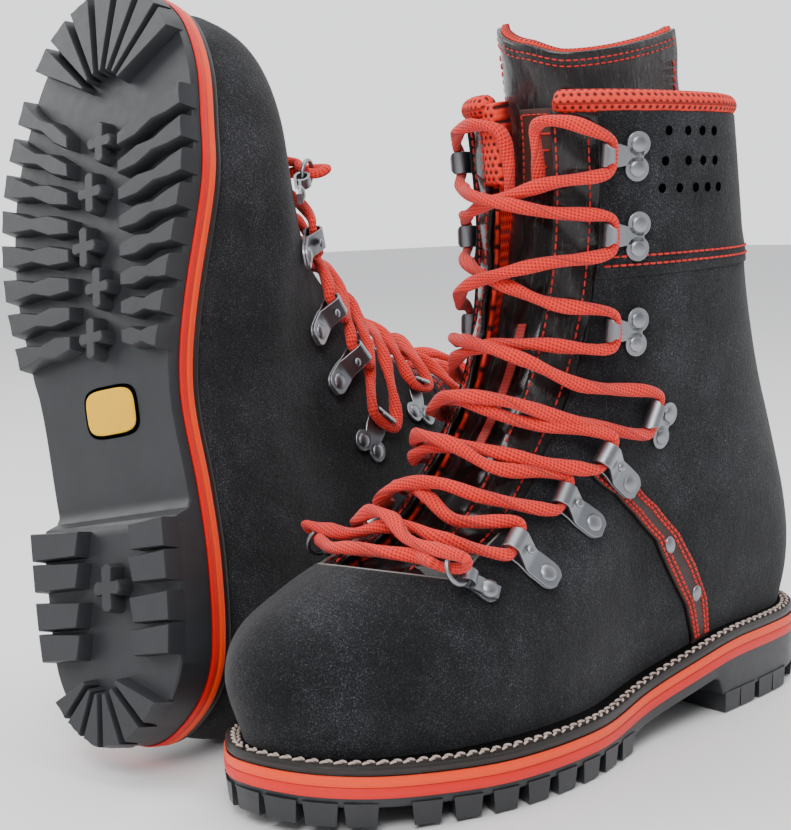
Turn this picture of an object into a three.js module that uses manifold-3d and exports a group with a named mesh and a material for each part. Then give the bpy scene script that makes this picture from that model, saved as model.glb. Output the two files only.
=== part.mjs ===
// A pair of laced leather fire boots. Millimetres, +Z up, toes of the standing boot towards -Y.
// The origin is on the ground under the heel of the standing left boot, in the middle of its cross lug.
// That boot's outer side is +X.
// The right boot is the mirror image of the left one. It leans back on its heel and collar.
import * as THREE from 'three';
import { mergeVertices } from 'three/addons/utils/BufferGeometryUtils.js';
import Module from 'manifold-3d';

const wasm = await Module();
wasm.setup();
const { lerp, clamp, smoothstep, degToRad } = THREE.MathUtils;

// ---- Sole ----
const SOLE_BACK = -38;
const SOLE_FRONT = 272;
const SOLE_TOE_SHIFT = 6;          // the toe lies this far to the inner side of the heel
const HEEL_HEIGHT = 23;            // ground to the underside of the midsole, at the heel
const BALL_HEIGHT = 10.6;          // the same at the ball of the foot
const TOE_SPRING = 5;
const SPRING_START = 195;
const MIDSOLE_LAYER = 4;
const WELT = 4;
const LUG_DEPTH = 7;
const ARCH_THICKNESS = 5;
const ARCH_BACK = 52;
const ARCH_FRONT = 112;
const TREAD_INSET = 1.8;
const BALL_HALF_WIDTH = 54;
const HEEL_LUG = [24, 2];          // place of the cross lug that holds the origin
const BADGE_CENTRE = [95, -3];
const BADGE_HALF = [11, 14];
const BADGE_CLEARANCE = 0.4;
const BADGE_THICKNESS = 1.6;
const BADGE_PROUD = 0.5;           // how far the badge stands out of the sole under the arch
const POCKET_DEPTH = 1.4;

// Outline of the sole, half of it on each side: distance forward of the heel, distance inwards.
const OUTER_OUTLINE = [[-38, 0], [-31, -18], [-15, -32], [8, -38], [60, -43], [105, -45], [150, -56],
  [190, -56.5], [225, -47], [250, -35], [266, -17.5], [272, 5]];
const INNER_OUTLINE = [[-38, 0], [-31, 18], [-15, 32], [8, 36], [60, 33], [100, 31], [140, 39.5],
  [180, 49.5], [205, 50], [230, 47.5], [252, 38], [266, 22], [272, 5]];

// ---- Upper ----
// Level rings round the upper, from the welt to the top of the tongue. Each has the place and height
// of its back and front, its half widths on the outer and inner side and at the heel, and how far its
// shape has changed from the sole's outline (0) to an oval (1).
const RINGS = [
  [-33, 36, 264, 31, 49, 43, 31, 0],
  [-36, 52, 270, 50, 51.5, 47, 34, 0.05],
  [-36, 68, 264, 65, 50.5, 47, 35, 0.15],
  [-32, 86, 246, 77, 45, 40.5, 35, 0.35],
  [-26, 104, 222, 86, 40.5, 36, 34, 0.55],
  [-19, 122, 194, 97, 38, 35.5, 33, 0.75],
  [-11, 140, 172, 119, 38, 37, 32.5, 0.9],
  [-3, 160, 153, 146, 40, 38.5, 32.5, 1],
  [5, 182, 142, 175, 42.5, 41, 33.5, 1],
  [12, 206, 137, 204.5, 44.5, 43.5, 35.5, 1],
  [18, 232, 137, 231, 46, 45.5, 37, 1],
  [22, 258, 140, 258, 47, 47, 37.5, 1],
  [25, 290, 146, 290, 47, 47, 38, 1],
];
const COLLAR_SEAM = 8.43;          // ring numbers
const PANEL_TOP = 10.74;
const COLLAR_TOP = 11;
const TONGUE_TOP = 11.72;

// Every layer of the upper is drawn on the same levels and angles, so that its facets stay parallel.
const LEVELS_UP = [0, 0.7, 1.5, 2.3, 3.1, 3.9, 4.7, 5.5, 6.3, 7.3, COLLAR_SEAM];
const COLLAR_LEVELS = [COLLAR_SEAM + 0.02, 9.6, PANEL_TOP];
const AROUND = 24;
const STEP = 360 / AROUND;

const SIMPLER = 0.05;              // detail smaller than this is dropped after a join or a cut
const GAP = 0.3;
const SOLE_GAP = 0.6;              // between the layers of the sole, whose faces are curved
const LEATHER = 2;
const UNDER_LEATHER = 2.9;         // depth of the stiffeners' and facings' outer face
const STIFFENER = 1.4;
const LINING_OUT = 6.4;            // depth of the lining's outer face, behind the padding
const LINING_IN = 7.9;
const TONGUE_OUT = 9;
const TONGUE_SET_BACK = 9;         // how much deeper it lies at the collar
const TONGUE_THICKNESS = 2.2;
const TONGUE_EDGE = [-45, 110];    // degrees round the upper
const TONGUE_FOOT = 4.3;
const BINDING_PROUD = 0.8;

// The throat, in degrees round the upper: 0 is the front, positive is the outer side.
const SUEDE_EDGE = [-38, 46];
const THROAT_EDGE = [-4, 24];
const FACING_BACK = [-46, 52];
const THROAT_BASE = 4.0;           // ring number at the middle of the throat's foot
const THROAT_BASE_DROP = 0.65;     // how much lower it is at its two corners

// Edges of the strap on the outer side: ring number, then the angle of its lower front and upper back edge.
const STRAP = [[0.1, 110, 114.5], [1.1, 106.5, 112], [2.1, 101, 107.5], [3, 96, 102], [3.9, 87, 94],
  [4.7, 77, 84], [5.3, 66, 75]];
const STRAP_END = 5.3;

// ---- Lacing ----
const LACE_RADIUS = 2;
const LACE_SIDES = 5;
const LACE_LOW = 3.9;              // height of a strand over the upper's surface
const LACE_HIGH = 9.2;
const PLATE = 1.2;
const PLATE_LIFT = 1.1;
const CHANNEL = 3;                 // inner radius of the loop that holds the lace
const RIVET_RADIUS = 1.5;
const RIVET_CLEARANCE = 0.4;
const BACKING_DEPTH = 3.7;
const BACKING = 1.2;
const RING_RADIUS = 5.6;
const RING_WIRE = 1;
const RING_RISE = 25;              // degrees that a lace ring stands off the leather
const STRAP_THICKNESS = 1.8;
const STRAP_LIFT = 1.3;

// Fittings from toe to collar: ring number and angle of the rivet, then of the loop.
const RING_CLIP = { rivet: [2.9, 55], loop: [3.35, 46], reach: 9, width: 5 };
const EYELETS = [
  { rivet: [2.97, 67.5], loop: [4.0, 53.5], reach: 17, width: 11 },
  { rivet: [4.07, 74], loop: [5.1, 57], reach: 17, width: 11 },
  { rivet: [4.97, 77.5], loop: [5.8, 62], reach: 18, width: 11 },
];
const LOCK_HOOK = { rivet: [5.9, 87], loop: [6.2, 78.5], reach: 12, width: 12 };
const SPEED_HOOKS = [
  { rivet: [7.58, 65], loop: [7.65, 54.5], reach: 12, width: 9 },
  { rivet: [8.92, 61], loop: [8.95, 50], reach: 12, width: 9 },
  { rivet: [10.08, 60.5], loop: [10.1, 50], reach: 12, width: 9 },
];
const BAR_RING = 4.3;              // ring number where the lowest strand passes the front
const BAR_LIFT = 2.6;
const CROSSINGS = [4.85, 5.5, 6.15, 6.75, 7.4, 8.35, 9.5];

// ---- The leaning right boot ----
const LEAN_YAW = 9.7;
const LEAN_BACK = -12.2;
const LEAN_SIDE = -10.9;
const LEAN_X = -86.9;
const LEAN_Y = -273.4;

// ---- Finishes ----
const finish = (color, roughness, metalness = 0) =>
  new THREE.MeshStandardMaterial({ color, roughness, metalness });
const SUEDE = finish('#242526', 0.95);
const RUBBER = finish('#33363a', 0.75);
const RED_FOAM = finish('#e8402c', 0.6);
const ORANGE_FOAM = finish('#ff6a1c', 0.6);
const WELT_LEATHER = finish('#1d1b1a', 0.6);
const GLOSSY_LEATHER = finish('#1a1718', 0.3);
const MESH_LINING = finish('#e0483e', 0.9);
const LACE_BRAID = finish('#ee5044', 0.85);
const STRAP_LEATHER = finish('#2a1a18', 0.7);
const NICKEL = finish('#8d9094', 0.35, 1);
const STEEL = finish('#9ea2a6', 0.4, 1);
const BOARD = finish('#b59a73', 0.9);
const FOOTBED_FABRIC = finish('#2f3033', 0.95);
const BADGE_YELLOW = finish('#f2d22e', 0.5);
const LABEL_BROWN = finish('#3a2320', 0.7);

// ---- Shape of the sole ----
function outlineCurve(points) {
  return new THREE.SplineCurve(points.map(([u, m]) => new THREE.Vector2(u, m))).getPoints(120);
}
const OUTER_CURVE = outlineCurve(OUTER_OUTLINE);
const INNER_CURVE = outlineCurve(INNER_OUTLINE);

// Distance inwards of the sole's edge, at u forward of the heel.
function edge(curve, u) {
  const next = curve.findIndex((point) => point.x >= u);
  if (next <= 0) return next === 0 ? curve[0].y : curve[curve.length - 1].y;
  const a = curve[next - 1];
  const b = curve[next];
  return lerp(a.y, b.y, (u - a.x) / Math.max(b.x - a.x, 1e-6));
}

const alongSole = (share) => lerp(SOLE_BACK, SOLE_FRONT, share);

function halfWidths(curve) {
  const shares = Array.from({ length: 201 }, (_, i) => 0.5 - 0.5 * Math.cos((Math.PI * i) / 200));
  const widths = shares.map((t) => Math.abs(edge(curve, alongSole(t)) - SOLE_TOE_SHIFT * t));
  const widest = Math.max(...widths);
  return widths.map((width) => width / widest);
}
const OUTER_SHARE = halfWidths(OUTER_CURVE);
const INNER_SHARE = halfWidths(INNER_CURVE);

// Half width of the sole's outline as a share of its widest, at a share t of its length.
function outlineShare(table, t) {
  const place = (200 * Math.acos(clamp(1 - 2 * t, -1, 1))) / Math.PI;
  const i = Math.min(Math.floor(place), 199);
  return lerp(table[i], table[i + 1], place - i);
}

const springAt = (u) => TOE_SPRING * clamp((u - SPRING_START) / (SOLE_FRONT - SPRING_START), 0, 1) ** 1.8;
const midsoleBottom = (u) =>
  lerp(HEEL_HEIGHT, BALL_HEIGHT, smoothstep(u, 30, 140)) + springAt(u);
const weltBottom = (u) => midsoleBottom(u) + 2 * MIDSOLE_LAYER;
const weltTop = (u) => weltBottom(u) + WELT;

// A point of the left boot: u forward of the heel, m inwards, z up.
const at = (u, m, z) => new THREE.Vector3(-m, -u, z);

// ---- Shape of the upper ----
function catmullRom(p0, p1, p2, p3, f) {
  const linear = p2 - p0;
  const square = 2 * p0 - 5 * p1 + 4 * p2 - p3;
  const cubic = -p0 + 3 * p1 - 3 * p2 + p3;
  return 0.5 * (2 * p1 + linear * f + square * f * f + cubic * f * f * f);
}

function ringAt(k) {
  const last = RINGS.length - 1;
  const i = clamp(Math.floor(k), 0, last - 1);
  const row = (j, column) => {
    if (j < 0) return 2 * RINGS[0][column] - RINGS[1][column];
    if (j > last) return 2 * RINGS[last][column] - RINGS[last - 1][column];
    return RINGS[j][column];
  };
  return RINGS[0].map((_, c) => catmullRom(row(i - 1, c), row(i, c), row(i + 1, c), row(i + 2, c), k - i));
}

// Where the heel's half width is measured, as a share of the length, and an oval's share of width there.
const HEEL_PLACE = 0.15;
const OVAL_AT_HEEL = 2 * Math.sqrt(HEEL_PLACE * (1 - HEEL_PLACE));

function ringPoint(k, theta) {
  const [backU, backZ, frontU, frontZ, outerHalf, innerHalf, heelHalf, oval] = ringAt(k);
  const angle = degToRad(theta);
  const sine = Math.sin(angle);
  const outer = sine >= 0;
  const table = outer ? OUTER_SHARE : INNER_SHARE;
  const half = outer ? outerHalf : innerHalf;
  const t = 0.5 + 0.5 * Math.cos(angle);
  const share = lerp(outlineShare(table, t), Math.abs(sine) ** 0.9, oval);
  const heelNow = half * lerp(outlineShare(table, HEEL_PLACE), OVAL_AT_HEEL, oval);
  const heelShare = 1 - smoothstep(t, 0.1, 0.55);
  const width = half * share * (1 + (heelHalf / heelNow - 1) * heelShare);
  const u = lerp(backU, frontU, t);
  const m = (outer ? -width : width) + SOLE_TOE_SHIFT * t * (1 - oval);
  const flare = clamp(1 - k / 4, 0, 1) ** 1.2;
  const foot = weltTop(u) + GAP - lerp(RINGS[0][1], RINGS[0][3], t);
  return at(u, m, lerp(backZ, frontZ, t) + flare * foot);
}

function normalAt(k, theta) {
  const up = ringPoint(k + 0.05, theta).sub(ringPoint(k - 0.05, theta));
  const round = ringPoint(k, theta + 2).sub(ringPoint(k, theta - 2));
  return round.cross(up).normalize();
}

// Point on the upper's surface, lifted off it along its normal. Negative lifts go inside.
function surface(k, theta, lift = 0) {
  return ringPoint(k, theta).addScaledVector(normalAt(k, theta), lift);
}

// ---- Mesh building ----
function closedGeometry(points, index) {
  const geometry = new THREE.BufferGeometry().setFromPoints(points);
  geometry.setIndex(index);
  let volume = 0;
  const cross = new THREE.Vector3();
  for (let i = 0; i < index.length; i += 3) {
    cross.crossVectors(points[index[i + 1]], points[index[i + 2]]);
    volume += points[index[i]].dot(cross);
  }
  if (volume < 0) geometry.setIndex(index.slice().reverse());
  return geometry;
}

// Closed skin between two grids of points. wrap joins the last column to the first.
function shell(outer, inner, wrap = false) {
  const rows = outer.length;
  const columns = outer[0].length;
  const points = [...outer.flat(), ...inner.flat()];
  const index = [];
  const id = (layer, i, j) => layer * rows * columns + i * columns + (j % columns);
  const quad = (a, b, c, d) => index.push(a, b, c, a, c, d);
  const span = wrap ? columns : columns - 1;
  const top = rows - 1;
  for (let j = 0; j < span; j += 1) {
    for (let i = 0; i < top; i += 1) {
      quad(id(0, i, j), id(0, i, j + 1), id(0, i + 1, j + 1), id(0, i + 1, j));
      quad(id(1, i, j), id(1, i + 1, j), id(1, i + 1, j + 1), id(1, i, j + 1));
    }
    quad(id(0, 0, j), id(1, 0, j), id(1, 0, j + 1), id(0, 0, j + 1));
    quad(id(0, top, j), id(0, top, j + 1), id(1, top, j + 1), id(1, top, j));
  }
  for (let i = 0; i < top && !wrap; i += 1) {
    quad(id(0, i, 0), id(0, i + 1, 0), id(1, i + 1, 0), id(1, i, 0));
    quad(id(0, i, span), id(1, i, span), id(1, i + 1, span), id(0, i + 1, span));
  }
  return closedGeometry(points, index);
}

const valueAt = (entry, x) => (typeof entry === 'function' ? entry(x) : entry);

// A layer of the upper between two depths, with a corner at every pair of a level and an angle. Levels may
// vary with the angle, or angles with the level.
function patch(levels, angles, outside, inside, wrap = false) {
  const skin = (lift) => levels.map((level) => angles.map((angle) => {
    const k = valueAt(level, angle);
    return surface(k, valueAt(angle, k), valueAt(lift, k));
  }));
  return shell(skin(outside), skin(inside), wrap);
}

const evenly = (from, to, count) => Array.from({ length: count + 1 }, (_, i) => lerp(from, to, i / count));
const ALL_ROUND = evenly(0, 360 - STEP, AROUND - 1);

// The shared angles between two edges of a piece, with the edges themselves.
function anglesBetween(from, to) {
  const first = Math.ceil(from / STEP + 0.2);
  const last = Math.floor(to / STEP - 0.2);
  return [from, ...Array.from({ length: last - first + 1 }, (_, i) => (first + i) * STEP), to];
}

// A flat outline in u and m, between two heights.
function prism(outline, bottom, top) {
  const flat = outline.map(([u, m]) => new THREE.Vector2(u, m));
  if (THREE.ShapeUtils.isClockWise(flat)) flat.reverse();
  const count = flat.length;
  const points = [bottom, top].flatMap((height) => flat.map(({ x, y }) => at(x, y, height(x, y))));
  const index = [];
  for (const [a, b, c] of THREE.ShapeUtils.triangulateShape(flat, [])) {
    index.push(a, b, c, c + count, b + count, a + count);
  }
  for (let i = 0; i < count; i += 1) {
    const next = (i + 1) % count;
    index.push(i, i + count, next, next, i + count, next + count);
  }
  return closedGeometry(points, index);
}

// Only positions, with shared corners merged and triangles that have no area dropped.
function welded(geometry) {
  const plain = geometry.clone();
  plain.deleteAttribute('normal');
  plain.deleteAttribute('uv');
  const merged = mergeVertices(plain, 1e-4);
  const old = merged.index.array;
  const index = [];
  for (let i = 0; i < old.length; i += 3) {
    const [a, b, c] = [old[i], old[i + 1], old[i + 2]];
    if (a !== b && b !== c && c !== a) index.push(a, b, c);
  }
  return merged.setIndex(index);
}

function toSolid(geometry) {
  const merged = welded(geometry);
  const vertProperties = new Float32Array(merged.attributes.position.array);
  const triVerts = new Uint32Array(merged.index.array);
  return new wasm.Manifold(new wasm.Mesh({ numProp: 3, vertProperties, triVerts }));
}

function toGeometry(solid) {
  const { vertProperties, triVerts } = solid.getMesh();
  const geometry = new THREE.BufferGeometry();
  geometry.setAttribute('position', new THREE.BufferAttribute(vertProperties, 3));
  geometry.setIndex(new THREE.BufferAttribute(triVerts, 1));
  return geometry;
}

const joined = (parts) => toGeometry(wasm.Manifold.union(parts.map(toSolid)).simplify(SIMPLER));
const cut = (body, cutters) =>
  toGeometry(wasm.Manifold.difference([toSolid(body), ...cutters.map(toSolid)]).simplify(SIMPLER));

// ---- Sole pieces ----
const SOLE_STATIONS = 20;

function soleStations() {
  return Array.from({ length: SOLE_STATIONS + 1 }, (_, i) => {
    const share = 0.5 - 0.5 * Math.cos(Math.PI * clamp(i / SOLE_STATIONS, 0.025, 0.975));
    return alongSole(share);
  });
}

// The sole's outline drawn in by inset at the ball and the toe, and in proportion elsewhere.
function drawnIn(u, m, inset) {
  const middleU = (SOLE_FRONT + SOLE_BACK) / 2;
  const middleM = (edge(OUTER_CURVE, u) + edge(INNER_CURVE, u)) / 2;
  const shareU = 1 - inset / (SOLE_FRONT - middleU);
  const shareM = 1 - inset / BALL_HALF_WIDTH;
  return [lerp(middleU, u, shareU), lerp(middleM, m, shareM)];
}

// Slab in the sole's outline, drawn in by inset, between two heights.
function soleSlab(inset, bottom, top, stations = soleStations()) {
  const level = (height) => stations.map((u) => [OUTER_CURVE, INNER_CURVE].map((curve) => {
    const [along, across] = drawnIn(u, edge(curve, u), inset);
    return at(along, across, height(along));
  }));
  return shell(level(top), level(bottom));
}

function midsole(layerIndex) {
  const bottom = (u) => midsoleBottom(u) + layerIndex * MIDSOLE_LAYER;
  return soleSlab(0, bottom, (u) => bottom(u) + MIDSOLE_LAYER - SOLE_GAP);
}

// The welt is a strip round the edge. Walking round the outline gives its outer and inner edge.
function outlineLoop(inset, steps) {
  return Array.from({ length: steps }, (_, i) => {
    const angle = (2 * Math.PI * (i + 0.5)) / steps;
    const u = alongSole(0.5 + 0.5 * Math.cos(angle));
    return drawnIn(u, edge(angle < Math.PI ? OUTER_CURVE : INNER_CURVE, u), inset);
  });
}

function weltStrip() {
  const steps = 32;
  const level = (inset) => [weltBottom, (u) => weltTop(u) - SOLE_GAP].map((height) =>
    outlineLoop(inset, steps).map(([u, m]) => at(u, m, height(u))));
  return shell(level(1), level(15), true);
}

function insoleBoard() {
  return soleSlab(19, (u) => weltBottom(u) + 2.3, (u) => weltTop(u) - SOLE_GAP);
}

function shank() {
  const half = 8;
  const stations = [20, 42, 64, 86, 108, 130];
  const level = (height) => stations.map((u) => [-half, half].map((m) => at(u, m, weltBottom(u) + height)));
  return shell(level(1.5), level(GAP));
}

function footbed() {
  return soleSlab(25, (u) => weltTop(u) + SOLE_GAP, (u) => weltTop(u) + 4.5);
}

// ---- Outsole ----
const lugTop = (u) => springAt(u) + LUG_DEPTH + 1;
const archBottom = (u) => midsoleBottom(u) - ARCH_THICKNESS;

function archOrTread(u) {
  if (u > ARCH_BACK && u < ARCH_FRONT) return archBottom(u);
  return springAt(u) + LUG_DEPTH;
}

function lug(outline) {
  return prism(outline, springAt, lugTop);
}

// A side lug runs in from the sole's edge.
function sideLug(side, u, innerU, width, innerM) {
  const curve = side < 0 ? OUTER_CURVE : INNER_CURVE;
  const outerM = edge(curve, u) - side * TREAD_INSET;
  const half = width / 2;
  return lug([[u - half, outerM], [u + half, outerM],
    [innerU + half * 0.8, side * innerM], [innerU - half * 0.8, side * innerM]]);
}

function crossLug(u, m, long, wide, arm) {
  const outline = [[long, arm], [arm, arm], [arm, wide], [-arm, wide], [-arm, arm], [-long, arm],
    [-long, -arm], [-arm, -arm], [-arm, -wide], [arm, -wide], [arm, -arm], [long, -arm]];
  return lug(outline.map(([du, dm]) => [u + du, m + dm]));
}

// Half the space between two radial lugs, in degrees.
const LUG_SPACE = 2.2;

// Radial lugs round the toe or the heel, from angle to angle, as wedges cut off at the sole's edge.
function radialLugs(centreU, direction, fromAngle, toAngle, count, innerRadius) {
  const wedge = (toAngle - fromAngle) / count;
  return Array.from({ length: count }, (_, i) => {
    const corner = (angle, radius) => {
      const a = degToRad(angle);
      return [centreU + direction * radius * Math.cos(a), SOLE_TOE_SHIFT / 2 + radius * Math.sin(a)];
    };
    const reach = (angle) => {
      let radius = innerRadius;
      const inside = (r) => {
        const [u, m] = corner(angle, r);
        const past = u < SOLE_BACK + TREAD_INSET || u > SOLE_FRONT - TREAD_INSET;
        return !past && m > edge(OUTER_CURVE, u) + TREAD_INSET && m < edge(INNER_CURVE, u) - TREAD_INSET;
      };
      while (inside(radius + 0.5)) radius += 0.5;
      return radius;
    };
    const start = fromAngle + i * wedge + LUG_SPACE;
    const end = fromAngle + (i + 1) * wedge - LUG_SPACE;
    const rim = [start, (start + end) / 2, end].map((angle) => corner(angle, reach(angle)));
    return lug([corner(start, innerRadius), ...rim, corner(end, innerRadius)]);
  });
}

function badgeOutline(grow) {
  const corners = 14;
  return Array.from({ length: corners }, (_, i) => {
    const a = (2 * Math.PI * i) / corners;
    return [BADGE_CENTRE[0] + (BADGE_HALF[0] + grow) * Math.cos(a),
      BADGE_CENTRE[1] + (BADGE_HALF[1] + grow) * Math.sin(a)];
  });
}
function outsole() {
  const steps = [ARCH_BACK - 0.2, ARCH_BACK + 0.2, ARCH_FRONT - 0.2, ARCH_FRONT + 0.2];
  const stations = [...soleStations(), ...steps].sort((a, b) => a - b);
  const base = soleSlab(TREAD_INSET, archOrTread, (u) => midsoleBottom(u) - SOLE_GAP, stations);
  const lugs = [];
  for (let i = 0; i < 8; i += 1) lugs.push(sideLug(-1, 122 + 15.2 * i, 124 + 12 * i, 10, 16));
  for (let i = 0; i < 8; i += 1) lugs.push(sideLug(1, 119 + 13.5 * i, 122 + 11.5 * i, 9, 13));
  for (const [u, m] of [[124, -4], [144, 0], [162, -7], [184, -3], [204, 3]]) {
    lugs.push(crossLug(u, m, 8, 6.5, 2.8));
  }
  lugs.push(...radialLugs(222, 1, -58, 62, 6, 11));
  for (const u of [37, 7]) {
    lugs.push(sideLug(-1, u, u, 24, 13), sideLug(1, u, u, 24, 14.5));
  }
  lugs.push(crossLug(HEEL_LUG[0], HEEL_LUG[1], 9, 6.5, 3.2));
  lugs.push(...radialLugs(-6, -1, -66, 66, 5, 11));
  const pocket = prism(badgeOutline(BADGE_CLEARANCE), springAt, (u) => archBottom(u) + POCKET_DEPTH);
  return cut(joined([base, ...lugs]), [pocket]);
}

function badge() {
  const bottom = (u) => archBottom(u) - BADGE_PROUD;
  return prism(badgeOutline(0), bottom, (u) => bottom(u) + BADGE_THICKNESS);
}

// ---- Upper pieces ----
const throatFoot = (theta) => {
  const middle = (SUEDE_EDGE[0] + SUEDE_EDGE[1]) / 2;
  const half = (SUEDE_EDGE[1] - SUEDE_EDGE[0]) / 2;
  return THROAT_BASE - THROAT_BASE_DROP * ((theta - middle) / half) ** 2;
};

// Cutter for the opening of the throat between two angles, from its foot past the collar.
function throatCutter([inner, outer], foot) {
  const levels = evenly(0, 1, 7).map((share) => (theta) => lerp(foot(theta), RINGS.length - 1, share));
  return patch(levels, evenly(inner, outer, 4), 14, -14);
}

function strapAngle(k, share) {
  const last = STRAP.length - 1;
  const i = clamp(STRAP.findIndex(([ring]) => ring > k) - 1, 0, last - 1);
  const upper = k >= STRAP[last][0] ? last - 1 : i;
  const f = (k - STRAP[upper][0]) / (STRAP[upper + 1][0] - STRAP[upper][0]);
  const edgeAt = (column) => lerp(STRAP[upper][column], STRAP[upper + 1][column], f);
  return lerp(edgeAt(1), edgeAt(2), share);
}

// The seam between vamp and quarter runs under the strap, so the suede stays one piece.
function seamCutter() {
  const throatRing = 5.9;
  const underStrap = (k) => strapAngle(clamp(k, STRAP[0][0], STRAP_END), 0.5);
  const pastStrap = (k) => lerp(underStrap(STRAP_END), 44, (k - STRAP_END) / (throatRing - STRAP_END));
  const middle = (k) => (k > STRAP_END ? pastStrap(k) : underStrap(k));
  const edges = [-0.4, 0.4].map((offset) => (k) => middle(k) + offset);
  return patch(evenly(-0.5, throatRing, 8), edges, 6, -5);
}

function upper(holes) {
  const body = patch(LEVELS_UP, ALL_ROUND, 0, -LEATHER, true);
  return cut(body, [throatCutter(SUEDE_EDGE, throatFoot), seamCutter(), ...holes]);
}

function collarPanel(holes) {
  const angles = anglesBetween(SUEDE_EDGE[1], 360 + SUEDE_EDGE[0]);
  return cut(patch(COLLAR_LEVELS, angles, 0, -LEATHER), holes);
}

// Stiffener under the leather, up to one of the levels and between two angles.
function stiffener(topLevel, from, to) {
  return patch([0.12, ...LEVELS_UP.slice(1, topLevel + 1)], anglesBetween(from, to),
    -UNDER_LEATHER, -UNDER_LEATHER - STIFFENER);
}
const toeCap = () => stiffener(4, -45, 45);
const heelCounter = () => stiffener(5, 115, 245);

const liningThroat = () => throatCutter(THROAT_EDGE, (theta) => throatFoot(theta) + 0.5);

function lining() {
  const lower = LEVELS_UP.filter((_, i) => i % 2 === 0 || i > 6).slice(1);
  const levels = [0.05, ...lower, COLLAR_LEVELS[1], PANEL_TOP];
  return cut(patch(levels, ALL_ROUND, -LINING_OUT, -LINING_IN, true), [liningThroat()]);
}

// Padded edge of the collar, over the top of its panel and lining.
function collarBinding() {
  const levels = [PANEL_TOP + 0.04, COLLAR_TOP];
  return cut(patch(levels, ALL_ROUND, BINDING_PROUD, -LINING_IN, true), [liningThroat()]);
}

const tongueDepth = (k) => TONGUE_OUT + TONGUE_SET_BACK * smoothstep(k, 6, 11);

// The tongue stands over the collar, and its top edge dips in the middle.
function tongue() {
  const [inner, outer] = TONGUE_EDGE;
  const top = (theta) => {
    const fromMiddle = Math.abs(theta - (inner + outer) / 2) / ((outer - inner) / 2);
    return TONGUE_TOP - 0.25 + 0.45 * fromMiddle ** 1.6;
  };
  const levels = [TONGUE_FOOT, ...LEVELS_UP.slice(6), ...COLLAR_LEVELS.slice(1), top];
  const inside = (k) => -tongueDepth(k) - TONGUE_THICKNESS;
  return patch(levels, anglesBetween(inner, outer), (k) => -tongueDepth(k), inside);
}

function tongueLabel() {
  return patch([9.85, 10.65], [0, STEP, 22], (k) => 1.3 - tongueDepth(k), (k) => 0.7 - tongueDepth(k));
}

// Glossy edge of the throat under the suede, from the throat's foot to the collar.
function facing(side) {
  const front = THROAT_EDGE[side];
  const back = FACING_BACK[side];
  const foot = (theta) => throatFoot(theta) + 0.45;
  const levels = [foot, ...LEVELS_UP.slice(6), ...COLLAR_LEVELS.slice(1)];
  const angles = anglesBetween(Math.min(front, back), Math.max(front, back));
  return patch(levels, angles, -UNDER_LEATHER, -UNDER_LEATHER - STIFFENER);
}

function sideStrap(holes) {
  const edges = [(k) => strapAngle(k, 0), (k) => strapAngle(k, 1)];
  return cut(patch(evenly(0.15, 5.45, 8), edges, STRAP_LIFT + STRAP_THICKNESS, STRAP_LIFT), holes);
}

// ---- Lace fittings ----
// Local axes of a fitting: x away from the throat, y along the boot, z off the leather. The origin is
// under the plate at the rivet. side is 1 on the boot's outer side and -1 on its inner side.
function fittingFrame({ rivet, loop, reach }, side, lift = 0) {
  const middle = [(rivet[0] + loop[0]) / 2, ((rivet[1] + loop[1]) / 2) * side];
  const out = normalAt(...middle);
  const away = surface(rivet[0], rivet[1] * side).sub(surface(loop[0], loop[1] * side));
  away.addScaledVector(out, -away.dot(out)).normalize();
  const along = new THREE.Vector3().crossVectors(out, away);
  const origin = surface(...middle, PLATE_LIFT + lift).addScaledVector(away, reach / 2);
  return new THREE.Matrix4().makeBasis(away, along, out).setPosition(origin);
}

function profilePiece(shape, width) {
  const options = { depth: width, bevelEnabled: false, curveSegments: 2 };
  return welded(new THREE.ExtrudeGeometry(shape, options)).rotateX(Math.PI / 2).translate(0, width / 2, 0);
}

const CHANNEL_OUT = CHANNEL + PLATE;

// Closed loop: the strap of metal comes back over the lace and is riveted down on itself.
function eyeletPlate({ reach, width }) {
  const shape = new THREE.Shape();
  shape.moveTo(-5.5, 2 * PLATE);
  shape.lineTo(5.5, 2 * PLATE);
  shape.lineTo(5.5, 0);
  shape.absarc(-reach, CHANNEL_OUT, CHANNEL_OUT, -Math.PI / 2, Math.PI / 3, true);
  const hole = new THREE.Path();
  hole.absarc(-reach, CHANNEL_OUT, CHANNEL, Math.PI / 3, -Math.PI / 2, false);
  hole.lineTo(-8.2, PLATE);
  shape.holes.push(hole);
  return profilePiece(shape, width);
}

// Open hook: the metal curls over the lace and stops, so the lace lifts out.
function hookPlate({ reach, width }) {
  const end = degToRad(100);
  const shape = new THREE.Shape();
  shape.moveTo(4, PLATE);
  shape.lineTo(4, 0);
  shape.absarc(-reach, CHANNEL_OUT, CHANNEL_OUT, -Math.PI / 2, end, true);
  shape.absarc(-reach, CHANNEL_OUT, CHANNEL, end, -Math.PI / 2, false);
  return profilePiece(shape, width);
}

// Shaft of a rivet from its plate down to the backing behind the leather, and the hole it needs.
function rivetShaft(fitting, side, frame, grow = 0) {
  const foot = surface(fitting.rivet[0], fitting.rivet[1] * side, -BACKING_DEPTH - BACKING / 2);
  const depth = foot.applyMatrix4(frame.clone().invert()).z;
  const length = PLATE / 2 - depth + 2 * grow;
  const shaft = new THREE.CylinderGeometry(RIVET_RADIUS + grow, RIVET_RADIUS + grow, length, 6);
  return welded(shaft).rotateX(Math.PI / 2).translate(0, 0, depth + length / 2).applyMatrix4(frame);
}

function eyelet(fitting, side, lift) {
  const frame = fittingFrame(fitting, side, lift);
  return [eyeletPlate(fitting).applyMatrix4(frame), rivetShaft(fitting, side, frame)];
}

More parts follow.
